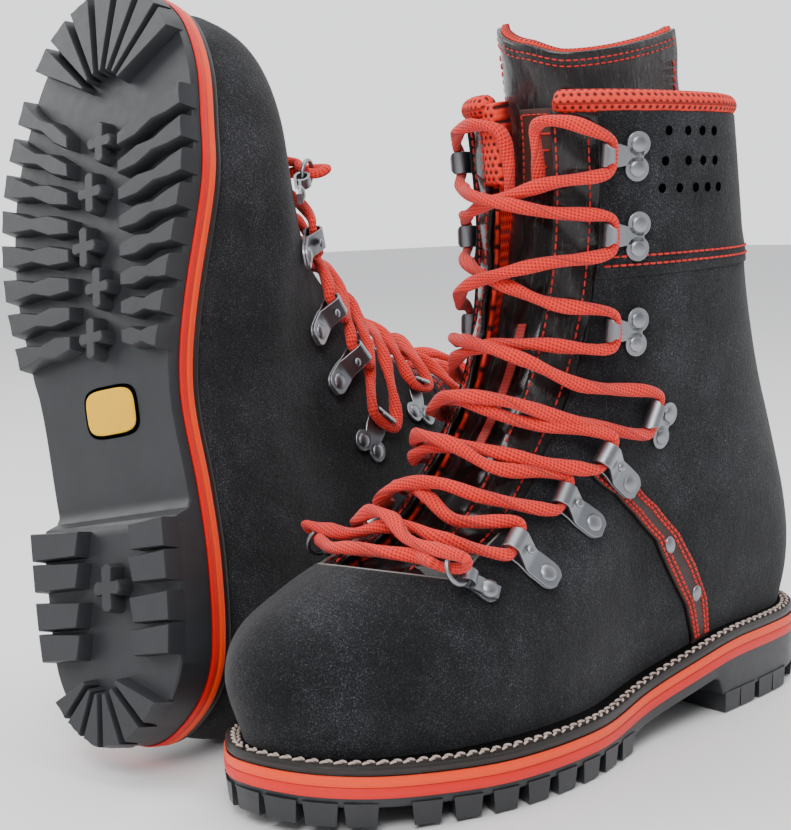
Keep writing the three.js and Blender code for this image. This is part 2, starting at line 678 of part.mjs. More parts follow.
// The riveted end of a hook, an oval across the boot's height.
function hookBase() {
  return welded(new THREE.CylinderGeometry(5.2, 5.2, PLATE, 8)).rotateX(Math.PI / 2)
    .scale(1, 2, 1).translate(0, 0, PLATE / 2);
}

function hook(fitting, side) {
  const frame = fittingFrame(fitting, side);
  const parts = [hookPlate(fitting), hookBase()];
  return [...parts.map((part) => part.applyMatrix4(frame)), rivetShaft(fitting, side, frame)];
}

// Reinforcing strip behind the leather, that ties a row of rivets together.
function backing(levels, angleOf, side) {
  const edges = [-5, 5].map((offset) => (k) => side * (angleOf(k) + offset));
  return patch(levels, edges, -BACKING_DEPTH, -BACKING_DEPTH - BACKING);
}

// Angle of a row of rivets at a ring number, from its first rivet to its last.
function rowAngle(row, k) {
  const first = row[0].rivet;
  const last = row[row.length - 1].rivet;
  return lerp(first[1], last[1], clamp((k - first[0]) / (last[0] - first[0]), 0, 1));
}

const strapLift = (side, index) => (side > 0 && index === 2 ? STRAP_THICKNESS + STRAP_LIFT : 0);

function eyeletRow(side) {
  const parts = EYELETS.flatMap((fitting, index) => eyelet(fitting, side, strapLift(side, index)));
  return joined([backing([2.7, 3.1, 3.9, 4.7, 5.2], (k) => rowAngle(EYELETS, k), side), ...parts]);
}

function hookRow(side) {
  const parts = SPEED_HOOKS.flatMap((fitting) => hook(fitting, side));
  return joined([backing([7.3, 8.43, 9.6, 10.3], (k) => rowAngle(SPEED_HOOKS, k), side), ...parts]);
}

function lockHook(side) {
  return joined([backing([5.6, 6.2], () => LOCK_HOOK.rivet[1], side), ...hook(LOCK_HOOK, side)]);
}

// The clip holds the lace ring in a small barrel.
const BARREL_IN = 2.4;
const BARREL_OUT = BARREL_IN + PLATE;

function ringClip(side) {
  const frame = fittingFrame(RING_CLIP, side);
  const shape = new THREE.Shape();
  shape.moveTo(-RING_CLIP.reach + 5, 2 * PLATE);
  shape.lineTo(4.5, 2 * PLATE);
  shape.lineTo(4.5, 0);
  shape.absarc(-RING_CLIP.reach, BARREL_OUT, BARREL_OUT, -Math.PI / 2, degToRad(60), true);
  shape.holes.push(new THREE.Path(evenly(0, 315, 7).map((angle) => new THREE.Vector2(
    BARREL_IN * Math.cos(degToRad(angle)) - RING_CLIP.reach,
    BARREL_IN * Math.sin(degToRad(angle)) + BARREL_OUT))));
  const plate = profilePiece(shape, RING_CLIP.width).applyMatrix4(frame);
  const washer = backing([2.75, 3.05], () => RING_CLIP.rivet[1], side);
  return joined([plate, washer, rivetShaft(RING_CLIP, side, frame)]);
}

// Place and axes of a ring's hinge: z is the hinge, in the clip's barrel, and x points to its middle.
function ringHinge(side) {
  const frame = fittingFrame(RING_CLIP, side);
  const turn = new THREE.Matrix4().makeRotationY(degToRad(RING_RISE));
  const basis = frame.multiply(new THREE.Matrix4().makeTranslation(-RING_CLIP.reach, 0, BARREL_OUT));
  return basis.multiply(turn).multiply(new THREE.Matrix4().makeRotationX(Math.PI / 2));
}

function laceRing() {
  return new THREE.TorusGeometry(RING_RADIUS, RING_WIRE, 5, 12).rotateX(Math.PI / 2)
    .translate(-RING_RADIUS, 0, 0);
}

// Holes for the rivets of one side, with clearance.
function rivetHoles(side) {
  const hole = (fitting, lift = 0) =>
    rivetShaft(fitting, side, fittingFrame(fitting, side, lift), RIVET_CLEARANCE);
  return {
    upper: [hole(RING_CLIP), ...EYELETS.map((fitting, index) => hole(fitting, strapLift(side, index))),
      hole(LOCK_HOOK), hole(SPEED_HOOKS[0])],
    collar: SPEED_HOOKS.slice(1).map((fitting) => hole(fitting)),
  };
}

// ---- Lace ----
// Middle of a fitting's loop, and the direction along the boot through it, pointing up.
function loopOf(fitting, side, lift) {
  const frame = fittingFrame(fitting, side, lift);
  const centre = new THREE.Vector3(-fitting.reach, 0, CHANNEL_OUT).applyMatrix4(frame);
  const along = new THREE.Vector3(0, side, 0).transformDirection(frame);
  const towards = new THREE.Vector3(-1, 0, 0).transformDirection(frame);
  return { centre, along, towards };
}

// Up through a loop: enter below it, leave above it.
function throughLoop(fitting, side, lift) {
  const { centre, along, towards } = loopOf(fitting, side, lift);
  const point = (up, forward) =>
    centre.clone().addScaledVector(along, up).addScaledVector(towards, forward);
  const half = fitting.width / 2;
  return [point(-half - 4.5, 3), point(-half, 0), point(half, 0), point(half + 4.5, 3)];
}

// Out of the throat, up through the ring from under it, and back over its front.
function throughRing(side) {
  const hinge = ringHinge(side);
  const point = (x, y) => new THREE.Vector3(x, y, 0).applyMatrix4(hinge);
  return [point(-16, -7), point(-10.2, -5.4), point(-6, -0.3), point(-7, 5.8), point(-12, 7.8)];
}

// A strand over the front, from one side to the other, between two fittings.
function strand(from, to, side, crossing, height) {
  const steps = 4;
  const bulge = crossing - (from.loop[0] + to.loop[0]) / 2;
  return Array.from({ length: steps }, (_, i) => {
    const t = (i + 1) / (steps + 1);
    const start = from.loop[1] - 12;
    const end = to.loop[1] - 12;
    const theta = side * lerp(start, -end, t);
    const k = lerp(from.loop[0], to.loop[0], t) + bulge * 4 * t * (1 - t);
    return surface(k, theta, lerp(LACE_LOW, height, Math.sin(Math.PI * t) ** 2));
  });
}

const LEVELS = [RING_CLIP, ...EYELETS, LOCK_HOOK, ...SPEED_HOOKS];

// Half of the lace, from a ring up to the collar, changing sides at every level.
function laceHalf(firstSide, height) {
  const route = [];
  let side = firstSide;
  for (let level = 1; level < LEVELS.length; level += 1) {
    route.push(...strand(LEVELS[level - 1], LEVELS[level], side, CROSSINGS[level - 1], height));
    side = -side;
    route.push(...throughLoop(LEVELS[level], side, strapLift(side, level - 1)));
  }
  const tuck = side > 0 ? [34, 22, 17, 16, 16] : [-24, -10, -1, 0, 0];
  const rings = [10.6, 10.62, 10.5, 10.1, 9.6];
  const lifts = [3.8, 2.6, -0.8, -3.2, -3.4];
  route.push(...rings.map((k, i) => surface(k, tuck[i], lifts[i])));
  return route;
}

function lace() {
  const barRing = (theta) => BAR_RING - 0.0004 * (theta - 4) ** 2;
  const bar = [-26, -12, 2, 16, 28].map((theta) => surface(barRing(theta), theta, BAR_LIFT));
  const outerRing = throughRing(1);
  const innerRing = throughRing(-1);
  const route = [...laceHalf(-1, LACE_LOW).reverse(), ...innerRing.reverse(), ...bar,
    ...outerRing, ...laceHalf(1, LACE_HIGH)];
  const path = new THREE.CatmullRomCurve3(route, false, 'centripetal');
  path.getPointAt = (t) => path.getPoint(t);
  path.getTangentAt = (t) => path.getTangent(t);
  const section = new THREE.Shape(Array.from({ length: LACE_SIDES }, (_, i) => {
    const angle = (2 * Math.PI * i) / LACE_SIDES;
    return new THREE.Vector2(LACE_RADIUS * Math.cos(angle), LACE_RADIUS * Math.sin(angle));
  }));
  return new THREE.ExtrudeGeometry(section, { steps: route.length - 1, extrudePath: path });
}

// ---- Assembly ----
function bootPieces() {
  const outer = rivetHoles(1);
  const inner = rivetHoles(-1);
  return {
    outsole: [outsole(), RUBBER],
    sole_badge: [badge(), BADGE_YELLOW],
    midsole_lower: [midsole(0), RED_FOAM],
    midsole_upper: [midsole(1), ORANGE_FOAM],
    welt: [weltStrip(), WELT_LEATHER],
    insole_board: [insoleBoard(), BOARD],
    shank: [shank(), STEEL],
    footbed: [footbed(), FOOTBED_FABRIC],
    toe_cap: [toeCap(), STEEL],
    heel_counter: [heelCounter(), BOARD],
    upper: [upper([...outer.upper, ...inner.upper]), SUEDE],
    collar_panel: [collarPanel([...outer.collar, ...inner.collar]), SUEDE],
    side_strap: [sideStrap([outer.upper[3]]), STRAP_LEATHER],
    collar_lining: [lining(), MESH_LINING],
    collar_binding: [collarBinding(), MESH_LINING],
    tongue: [tongue(), GLOSSY_LEATHER],
    tongue_label: [tongueLabel(), LABEL_BROWN],
    outer_facing: [facing(1), GLOSSY_LEATHER],
    inner_facing: [facing(0), GLOSSY_LEATHER],
    outer_eyelets: [eyeletRow(1), NICKEL],
    inner_eyelets: [eyeletRow(-1), NICKEL],
    outer_lock_hook: [lockHook(1), NICKEL],
    inner_lock_hook: [lockHook(-1), NICKEL],
    outer_speed_hooks: [hookRow(1), NICKEL],
    inner_speed_hooks: [hookRow(-1), NICKEL],
    outer_ring_clip: [ringClip(1), NICKEL],
    inner_ring_clip: [ringClip(-1), NICKEL],
    lace: [lace(), LACE_BRAID],
  };
}

// Mirror image in X, with its faces turned to point outwards again.
function mirrored(geometry) {
  const plain = welded(geometry).scale(-1, 1, 1);
  plain.setIndex(Array.from(plain.index.array).reverse());
  return plain;
}

// Mirror image in X of a place. Its last axis is turned over, so that it stays right-handed.
function mirroredPlace(matrix) {
  const mirrorX = new THREE.Matrix4().makeScale(-1, 1, 1);
  return mirrorX.multiply(matrix).multiply(new THREE.Matrix4().makeScale(1, 1, -1));
}

function boot(name, mirror) {
  const group = new THREE.Group();
  for (const [piece, [geometry, material]] of Object.entries(PIECES)) {
    const mesh = new THREE.Mesh(mirror ? mirrored(geometry) : geometry, material);
    mesh.name = `${name}_${piece}`;
    group.add(mesh);
  }
  for (const [side, word] of [[1, 'outer'], [-1, 'inner']]) {
    const mesh = new THREE.Mesh(laceRing(), NICKEL);
    mesh.name = `${name}_${word}_lace_ring`;
    const hinge = mirror ? mirroredPlace(ringHinge(side)) : ringHinge(side);
    hinge.decompose(mesh.position, mesh.quaternion, mesh.scale);
    group.add(mesh);
  }
  return group;
}

const PIECES = bootPieces();
const leftBoot = boot('left', false);
const rightBoot = boot('right', true);
const lean = new THREE.Matrix4().makeRotationZ(degToRad(LEAN_YAW))
  .multiply(new THREE.Matrix4().makeRotationX(degToRad(LEAN_BACK)))
  .multiply(new THREE.Matrix4().makeRotationY(degToRad(LEAN_SIDE)))
  .multiply(new THREE.Matrix4().makeRotationX(-Math.PI / 2));
rightBoot.quaternion.setFromRotationMatrix(lean);
rightBoot.position.set(LEAN_X, LEAN_Y, 0);
rightBoot.updateMatrixWorld(true);
rightBoot.position.z = -new THREE.Box3().setFromObject(rightBoot, true).min.z;

const pair = new THREE.Group();
pair.add(leftBoot, rightBoot);
pair.position.set(HEEL_LUG[1], HEEL_LUG[0], 0);

export default pair;
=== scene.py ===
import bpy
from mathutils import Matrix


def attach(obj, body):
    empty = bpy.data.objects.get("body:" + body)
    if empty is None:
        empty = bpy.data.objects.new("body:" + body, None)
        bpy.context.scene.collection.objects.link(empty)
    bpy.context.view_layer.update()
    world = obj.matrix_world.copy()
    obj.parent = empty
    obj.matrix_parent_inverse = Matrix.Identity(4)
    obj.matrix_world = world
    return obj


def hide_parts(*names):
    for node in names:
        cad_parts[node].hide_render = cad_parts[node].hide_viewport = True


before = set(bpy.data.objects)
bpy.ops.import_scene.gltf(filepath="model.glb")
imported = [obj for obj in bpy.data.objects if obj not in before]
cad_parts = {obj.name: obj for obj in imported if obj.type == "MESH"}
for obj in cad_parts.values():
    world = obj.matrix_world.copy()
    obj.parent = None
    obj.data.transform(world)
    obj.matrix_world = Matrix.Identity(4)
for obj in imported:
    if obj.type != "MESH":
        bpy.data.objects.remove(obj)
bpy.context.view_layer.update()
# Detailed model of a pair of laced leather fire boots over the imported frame. Lengths here are in
# millimetres and become metres when a mesh is made. Boots are drawn once, as the left one, and the right
# one is its mirror image, leaning back on its heel and collar.
import math
import bpy
import numpy as np
from mathutils import Matrix, Vector

# ---- Driving dimensions, the same as in the frame ----
SOLE_BACK, SOLE_FRONT = -38, 272
TOE_SHIFT = 6
HEEL_HEIGHT, BALL_HEIGHT = 23, 10.6
TOE_SPRING, SPRING_START = 5, 195
MIDSOLE_LAYER, WELT = 4, 4
LUG_DEPTH = 7
ARCH_THICKNESS, ARCH_BACK, ARCH_FRONT = 5, 52, 112
BALL_HALF_WIDTH = 54
GAP = 0.3
OUTER_OUTLINE = [[-38, 0], [-31, -18], [-15, -32], [8, -38], [60, -43], [105, -45], [150, -56],
                 [190, -56.5], [225, -47], [250, -35], [266, -17.5], [272, 6]]
INNER_OUTLINE = [[-38, 0], [-31, 18], [-15, 32], [8, 36], [60, 33], [100, 31], [140, 39.5],
                 [180, 49.5], [205, 50], [230, 47.5], [252, 38], [266, 22], [272, 6]]
RINGS = np.array([
    [-33, 36, 264, 31, 49, 43, 31, 0],
    [-36, 52, 270, 50, 51.5, 47, 34, 0.05],
    [-36, 68, 264, 65, 50.5, 47, 35, 0.15],
    [-32, 86, 246, 77, 45, 40.5, 35, 0.35],
    [-26, 104, 222, 86, 40.5, 36, 34, 0.55],
    [-19, 122, 194, 97, 38, 35.5, 33, 0.75],
    [-11, 140, 172, 119, 38, 37, 32.5, 0.9],
    [-3, 160, 153, 146, 40, 38.5, 32.5, 1],
    [5, 182, 142, 175, 42.5, 41, 33.5, 1],
    [12, 206, 137, 204.5, 44.5, 43.5, 35.5, 1],
    [18, 232, 137, 231, 46, 45.5, 37, 1],
    [22, 258, 140, 258, 47, 47, 37.5, 1],
    [25, 290, 146, 290, 47, 47, 38, 1]])
COLLAR_SEAM, PANEL_TOP, TONGUE_TOP = 8.43, 10.74, 11.72
SUEDE_EDGE, THROAT_EDGE, FACING_BACK = (-38, 46), (-4, 24), (-46, 52)
THROAT_BASE, THROAT_BASE_DROP = 4.0, 0.65
TONGUE_EDGE = (-45, 110)
CHANNEL, PLATE, PLATE_LIFT = 3, 1.2, 1.1
CHANNEL_OUT = CHANNEL + PLATE
BARREL_OUT = 2.4 + PLATE
RING_RADIUS, RING_WIRE, RING_RISE = 5.6, 1.0, 25
STRAP_THICKNESS, STRAP_LIFT = 1.8, 1.3
RING_CLIP = dict(rivet=(2.9, 55), loop=(3.35, 46), reach=9, width=5)
EYELETS = [dict(rivet=(2.97, 67.5), loop=(4.0, 53.5), reach=17, width=11),
           dict(rivet=(4.07, 74), loop=(5.1, 57), reach=17, width=11),
           dict(rivet=(4.97, 77.5), loop=(5.8, 62), reach=18, width=11)]
LOCK_HOOK = dict(rivet=(5.9, 87), loop=(6.2, 78.5), reach=12, width=12)
SPEED_HOOKS = [dict(rivet=(7.58, 65), loop=(7.65, 54.5), reach=12, width=9),
               dict(rivet=(8.92, 61), loop=(8.95, 50), reach=12, width=9),
               dict(rivet=(10.08, 60.5), loop=(10.1, 50), reach=12, width=9)]
LEVELS = [RING_CLIP, *EYELETS, LOCK_HOOK, *SPEED_HOOKS]
CROSSINGS = [4.85, 5.5, 6.15, 6.75, 7.4, 8.35, 9.5]
BAR_RING = 4.3
STRAND_END = 0.22
BADGE_CENTRE = (95, -3)
VENT_RADIUS, VENT_FLOOR_RADIUS, VENT_CORNERS = 1.9, 1.6, 16
STRAP = np.array([[0.1, 110, 114.5], [1.1, 106.5, 112], [2.1, 101, 107.5], [3, 96, 102], [3.9, 87, 94],
                  [4.7, 77, 84], [5.3, 66, 75]])
STRAP_RIVETS = [(2.77, 99.8), (1.33, 108.6)]
HEEL_LUG = (24, 2)

# ---- Placing ----
LEFT = Matrix.Translation((HEEL_LUG[1], HEEL_LUG[0], 0))
LEAN = (Matrix.Rotation(math.radians(9.7), 4, "Z") @ Matrix.Rotation(math.radians(-12.2), 4, "X")
        @ Matrix.Rotation(math.radians(-10.9), 4, "Y") @ Matrix.Rotation(math.radians(-90), 4, "X"))
RIGHT = (LEFT @ Matrix.Translation((-86.9, -273.4, 49.1703)) @ LEAN @ Matrix.Diagonal((-1, 1, 1, 1)))
PLACES = {"left": np.array(LEFT), "right": np.array(RIGHT)}


# ---- Shape of sole and upper ----
def round_end(tip, beside):
    """Points from the tip of the outline to the next point on it, along a curve that is round at the tip."""
    share = np.linspace(0, 1, 16)[:, None]
    along = tip[:1] + (beside[:1] - tip[:1]) * share ** 2
    return np.hstack([along, tip[1:] + (beside[1:] - tip[1:]) * share])


def outline_curve(points):
    p = np.array(points, float)
    place = (len(p) - 1) * np.linspace(0, 1, 121)
    i = np.minimum(place.astype(int), len(p) - 1)
    f = (place - i)[:, None]
    p0, p1 = p[np.maximum(i - 1, 0)], p[i]
    p2, p3 = p[np.minimum(i + 1, len(p) - 1)], p[np.minimum(i + 2, len(p) - 1)]
    v0, v1 = (p2 - p0) / 2, (p3 - p1) / 2
    curve = (2 * p1 - 2 * p2 + v0 + v1) * f ** 3 + (-3 * p1 + 3 * p2 - 2 * v0 - v1) * f ** 2 + v0 * f + p1
    middle = curve[(curve[:, 0] > p[1, 0]) & (curve[:, 0] < p[-2, 0])]
    return np.vstack([round_end(p[0], p[1]), middle, round_end(p[-1], p[-2])[::-1]])


OUTER_CURVE, INNER_CURVE = outline_curve(OUTER_OUTLINE), outline_curve(INNER_OUTLINE)


def edge(curve, u):
    return np.interp(u, curve[:, 0], curve[:, 1])


def half_widths(curve):
    t = SHARES
    width = np.abs(edge(curve, SOLE_BACK + (SOLE_FRONT - SOLE_BACK) * t) - TOE_SHIFT * t)
    return width / width.max()


SHARES = 0.5 - 0.5 * np.cos(np.pi * np.arange(201) / 200)
OUTER_SHARE, INNER_SHARE = half_widths(OUTER_CURVE), half_widths(INNER_CURVE)


def smooth(x, low, high):
    t = np.clip((x - low) / (high - low), 0, 1)
    return t * t * (3 - 2 * t)


def spring_at(u):
    return TOE_SPRING * np.clip((u - SPRING_START) / (SOLE_FRONT - SPRING_START), 0, 1) ** 1.8


def midsole_bottom(u):
    return HEEL_HEIGHT + (BALL_HEIGHT - HEEL_HEIGHT) * smooth(u, 30, 140) + spring_at(u)


def welt_top(u):
    return midsole_bottom(u) + 2 * MIDSOLE_LAYER + WELT


def ring_at(k):
    last = len(RINGS) - 1
    i = np.clip(np.floor(k).astype(int), 0, last - 1)
    f = (k - i)[..., None]
    padded_rows = np.vstack([2 * RINGS[0] - RINGS[1], RINGS, 2 * RINGS[-1] - RINGS[-2]])
    p0, p1, p2, p3 = (padded_rows[i + j] for j in range(4))
    return 0.5 * (2 * p1 + (p2 - p0) * f + (2 * p0 - 5 * p1 + 4 * p2 - p3) * f ** 2
                  + (-p0 + 3 * p1 - 3 * p2 + p3) * f ** 3)


def ring_point(k, theta):
    k, theta = np.broadcast_arrays(np.asarray(k, float), np.asarray(theta, float))
    back_u, back_z, front_u, front_z, outer_half, inner_half, heel_half, oval = np.moveaxis(ring_at(k), -1, 0)
    sine, t = np.sin(np.radians(theta)), 0.5 + 0.5 * np.cos(np.radians(theta))
    outer = sine >= 0
    steps = np.arange(201)
    by_angle = lambda x, table: np.interp(200 * np.arccos(np.clip(1 - 2 * x, -1, 1)) / np.pi, steps, table)
    share_of = lambda x: np.where(outer, by_angle(x, OUTER_SHARE), by_angle(x, INNER_SHARE))
    half = np.where(outer, outer_half, inner_half)
    share = share_of(t) * (1 - oval) + np.abs(sine) ** 0.9 * oval
    heel_now = half * (share_of(np.full_like(t, 0.15)) * (1 - oval) + 0.714 * oval)
    width = half * share * (1 + (heel_half / heel_now - 1) * (1 - smooth(t, 0.1, 0.55)))
    u = back_u + (front_u - back_u) * t
    m = np.where(outer, -width, width) + TOE_SHIFT * t * (1 - oval)
    flare = np.clip(1 - k / 4, 0, 1) ** 1.2
    foot = welt_top(u) + GAP - (RINGS[0][1] + (RINGS[0][3] - RINGS[0][1]) * t)
    return np.stack([-m, -u, back_z + (front_z - back_z) * t + flare * foot], -1)


def unit(v):
    return v / np.maximum(np.linalg.norm(v, axis=-1, keepdims=True), 1e-9)


def normal_at(k, theta):
    k, theta = np.broadcast_arrays(np.asarray(k, float), np.asarray(theta, float))
    up = ring_point(k + 0.05, theta) - ring_point(k - 0.05, theta)
    around = ring_point(k, theta + 2) - ring_point(k, theta - 2)
    return unit(np.cross(around, up))


def surface(k, theta, lift=0.0):
    k, theta = np.broadcast_arrays(np.asarray(k, float), np.asarray(theta, float))
    height = np.broadcast_to(np.asarray(lift, float), k.shape)
    return ring_point(k, theta) + normal_at(k, theta) * height[..., None]


def throat_foot(theta):
    middle, half = sum(SUEDE_EDGE) / 2, (SUEDE_EDGE[1] - SUEDE_EDGE[0]) / 2
    return THROAT_BASE - THROAT_BASE_DROP * ((theta - middle) / half) ** 2


def strap_angle(k, share):
    low, high = (np.interp(k, STRAP[:, 0], STRAP[:, c]) for c in (1, 2))
    past = np.clip(k - 5.3, 0, 1)
    return low + (high - low) * share - past * 18


# ---- Materials ----
def srgb(r, g, b):
    return tuple(c / 255 / 12.92 if c < 10.3 else ((c / 255 + 0.055) / 1.055) ** 2.4
                 for c in (r, g, b)) + (1,)


class Look:
    """A procedural material. Its textures use the row frame, in metres, or the piece's own uv, in mm."""

    def __init__(self, name, color, rough, metal=0.0):
        self.mat = bpy.data.materials.new(name)
        self.mat.use_nodes = True
        self.tree = self.mat.node_tree
        self.bsdf = self.tree.nodes["Principled BSDF"]
        self.bsdf.inputs["Base Color"].default_value = color
        self.bsdf.inputs["Roughness"].default_value = rough
        self.bsdf.inputs["Metallic"].default_value = metal
        self.coords = self.node("ShaderNodeTexCoord")
        self.heights = []

    def node(self, kind, inputs=None, **props):
        n = self.tree.nodes.new(kind)
        for key, value in props.items():
            setattr(n, key, value)
        for key, value in (inputs or {}).items():
            if hasattr(value, "is_output"):
                self.tree.links.new(value, n.inputs[key])
            else:
                n.inputs[key].default_value = value
        return n

    def noise(self, scale, detail=3, rough=0.6, stretch=(1, 1, 1), distortion=0.0, coord="Object"):
        mapping = self.node("ShaderNodeMapping", {"Vector": self.coords.outputs[coord], "Scale": stretch})
        n = self.node("ShaderNodeTexNoise", {"Vector": mapping.outputs[0], "Scale": scale, "Detail": detail,
                                             "Roughness": rough, "Distortion": distortion})
        return n.outputs["Fac"]

    def voronoi(self, scale, feature="F1", stretch=(1, 1, 1), coord="Object"):
        mapping = self.node("ShaderNodeMapping", {"Vector": self.coords.outputs[coord], "Scale": stretch})
        n = self.node("ShaderNodeTexVoronoi", {"Vector": mapping.outputs[0], "Scale": scale}, feature=feature)
        return n.outputs["Distance"]

    def math(self, operation, a, b=0.0):
        return self.node("ShaderNodeMath", {0: a, 1: b}, operation=operation).outputs[0]

    def ramp(self, value, stops):
        n = self.node("ShaderNodeValToRGB", {"Fac": value})
        while len(n.color_ramp.elements) < len(stops):
            n.color_ramp.elements.new(0.5)
        for element, (place, color) in zip(n.color_ramp.elements, stops):
            element.position, element.color = place, color
        return n.outputs["Color"]

    def mix(self, value, a, b, blend="MIX"):
        n = self.node("ShaderNodeMix", {0: value, 6: a, 7: b}, data_type="RGBA", blend_type=blend)
        return n.outputs[2]

    def color(self, value):
        self.tree.links.new(value, self.bsdf.inputs["Base Color"])

    def rough(self, value, low, high):
        n = self.node("ShaderNodeMapRange", {"Value": value, "To Min": low, "To Max": high})
        self.tree.links.new(n.outputs[0], self.bsdf.inputs["Roughness"])

    def bump(self, value, strength, distance):
        links = {"Height": value, "Strength": strength, "Distance": distance / 1000}
        if self.heights:
            links["Normal"] = self.heights[-1]
        self.heights.append(self.node("ShaderNodeBump", links).outputs[0])
        self.tree.links.new(self.heights[-1], self.bsdf.inputs["Normal"])
        return self


def suede():
    look = Look("suede", srgb(30, 31, 33), 0.95)
    speck = look.noise(1700, 3, 0.75)
    cloud = look.noise(22, 6, 0.72)
    fibre = look.ramp(speck, [(0.36, srgb(13, 14, 16)), (0.56, srgb(34, 35, 38)), (0.74, srgb(92, 93, 97))])
    tone = look.ramp(cloud, [(0.36, (0.5, 0.5, 0.51, 1)), (0.5, (0.95, 0.95, 0.95, 1)),
                             (0.66, (1.8, 1.81, 1.85, 1))])
    look.color(look.mix(1.0, fibre, tone, "MULTIPLY"))
    look.bump(look.noise(520, 4, 0.75), 0.7, 0.6).bump(cloud, 0.35, 1.2)
    look.bsdf.inputs["Sheen Weight"].default_value = 0.1
    look.bsdf.inputs["Sheen Roughness"].default_value = 0.5
    look.bsdf.inputs["Specular IOR Level"].default_value = 0.2
    return look.mat


def glossy_leather():
    look = Look("glossy_leather", srgb(20, 18, 19), 0.24)
    crease = look.voronoi(0.28, "DISTANCE_TO_EDGE", (1, 0.35, 1), "UV")
    wave = look.noise(0.2, 5, 0.75, (1, 0.3, 1), 2.5, "UV")
    look.bump(crease, 1.0, 1.6).bump(wave, 1.0, 9.0).bump(look.noise(700, 2), 0.25, 0.15)
    # Painted highlight: lighter grey streaks along the wrinkles, put in the base colour, stand in for
    # reflections on the glossy black leather.
    highlight_streak = look.noise(0.5, 4, 0.7, (1, 0.22, 1), 1.2, "UV")
    look.color(look.ramp(highlight_streak, [(0.42, srgb(12, 10, 11)), (0.56, srgb(34, 30, 31)),
                                  (0.7, srgb(96, 92, 94))]))
    look.rough(wave, 0.14, 0.34)
    look.bsdf.inputs["Coat Weight"].default_value = 0.6
    look.bsdf.inputs["Coat Roughness"].default_value = 0.16
    return look.mat


def plain(name, color, rough, metal=0.0, grain=300, strength=0.25, distance=0.25, vary=0.1):
    look = Look(name, color, rough, metal)
    n = look.noise(grain, 3)
    dark = tuple(c * (1 - vary) for c in color[:3]) + (1,)
    light = tuple(min(1, c * (1 + vary)) for c in color[:3]) + (1,)
    look.color(look.ramp(look.noise(45, 4), [(0.3, dark), (0.7, light)]))
    look.rough(n, max(0.05, rough - 0.08), rough + 0.08)
    look.bump(n, strength, distance)
    return look.mat


def honeycomb():
    """Open textile mesh: pits on a triangular lattice, 3.2 mm apart, in the piece's own uv."""
    look = Look("mesh_lining", srgb(226, 62, 50), 0.85)
    split = look.node("ShaderNodeSeparateXYZ", {"Vector": look.coords.outputs["UV"]})
    x = look.math("MULTIPLY", split.outputs[0], 2 * math.pi / 3.2)
    y = look.math("MULTIPLY", split.outputs[1], 2 * math.pi / 3.2 / math.sqrt(3))
    waves = [look.math("COSINE", look.math("MULTIPLY", y, 2.0)),
             look.math("COSINE", look.math("ADD", x, y)), look.math("COSINE", look.math("SUBTRACT", x, y))]
    pit = look.math("MULTIPLY", look.math("ADD", look.math("ADD", waves[0], waves[1]), waves[2]), 0.2)
    # Painted shade: the colour goes from bright coral on the threads to near-black red down in the pits.
    look.color(look.ramp(pit, [(0.05, srgb(240, 56, 38)), (0.28, srgb(178, 26, 18)), (0.45, srgb(56, 5, 5))]))
    look.bump(look.math("MULTIPLY", pit, -1.0), 0.9, 1.0)
    return look.mat


def braid():
    """Braided cord: two sets of crossing strands in the piece's own uv, x round and y along in mm."""
    look = Look("lace_braid", srgb(232, 58, 48), 0.85)
    split = look.node("ShaderNodeSeparateXYZ", {"Vector": look.coords.outputs["UV"]})
    around = look.math("MULTIPLY", split.outputs[0], 2 * math.pi * 6)
    along = look.math("MULTIPLY", split.outputs[1], 2 * math.pi / 2.8)
    one = look.math("SINE", look.math("ADD", around, along))
    two = look.math("SINE", look.math("SUBTRACT", along, around))
    weave = look.math("ADD", look.math("MULTIPLY", look.math("MULTIPLY", one, two), 0.5), 0.5)
    # Painted shade: the colour darkens in the valleys where the strands dip between crossings.
    look.color(look.ramp(weave, [(0.05, srgb(150, 14, 10)), (0.4, srgb(236, 34, 22)),
                                 (1, srgb(246, 62, 44))]))
    look.bump(weave, 0.8, 0.5).bump(look.noise(1500, 2), 0.35, 0.15)
    look.bsdf.inputs["Sheen Weight"].default_value = 0.15
    return look.mat


def shadow():
    # Painted shade: a near-black look with no specular, used for the vent holes and the ring round the sole
    # badge.
    look = Look("dark", (0.001, 0.001, 0.001, 1), 1.0)
    look.bsdf.inputs["Specular IOR Level"].default_value = 0.0
    return look.mat


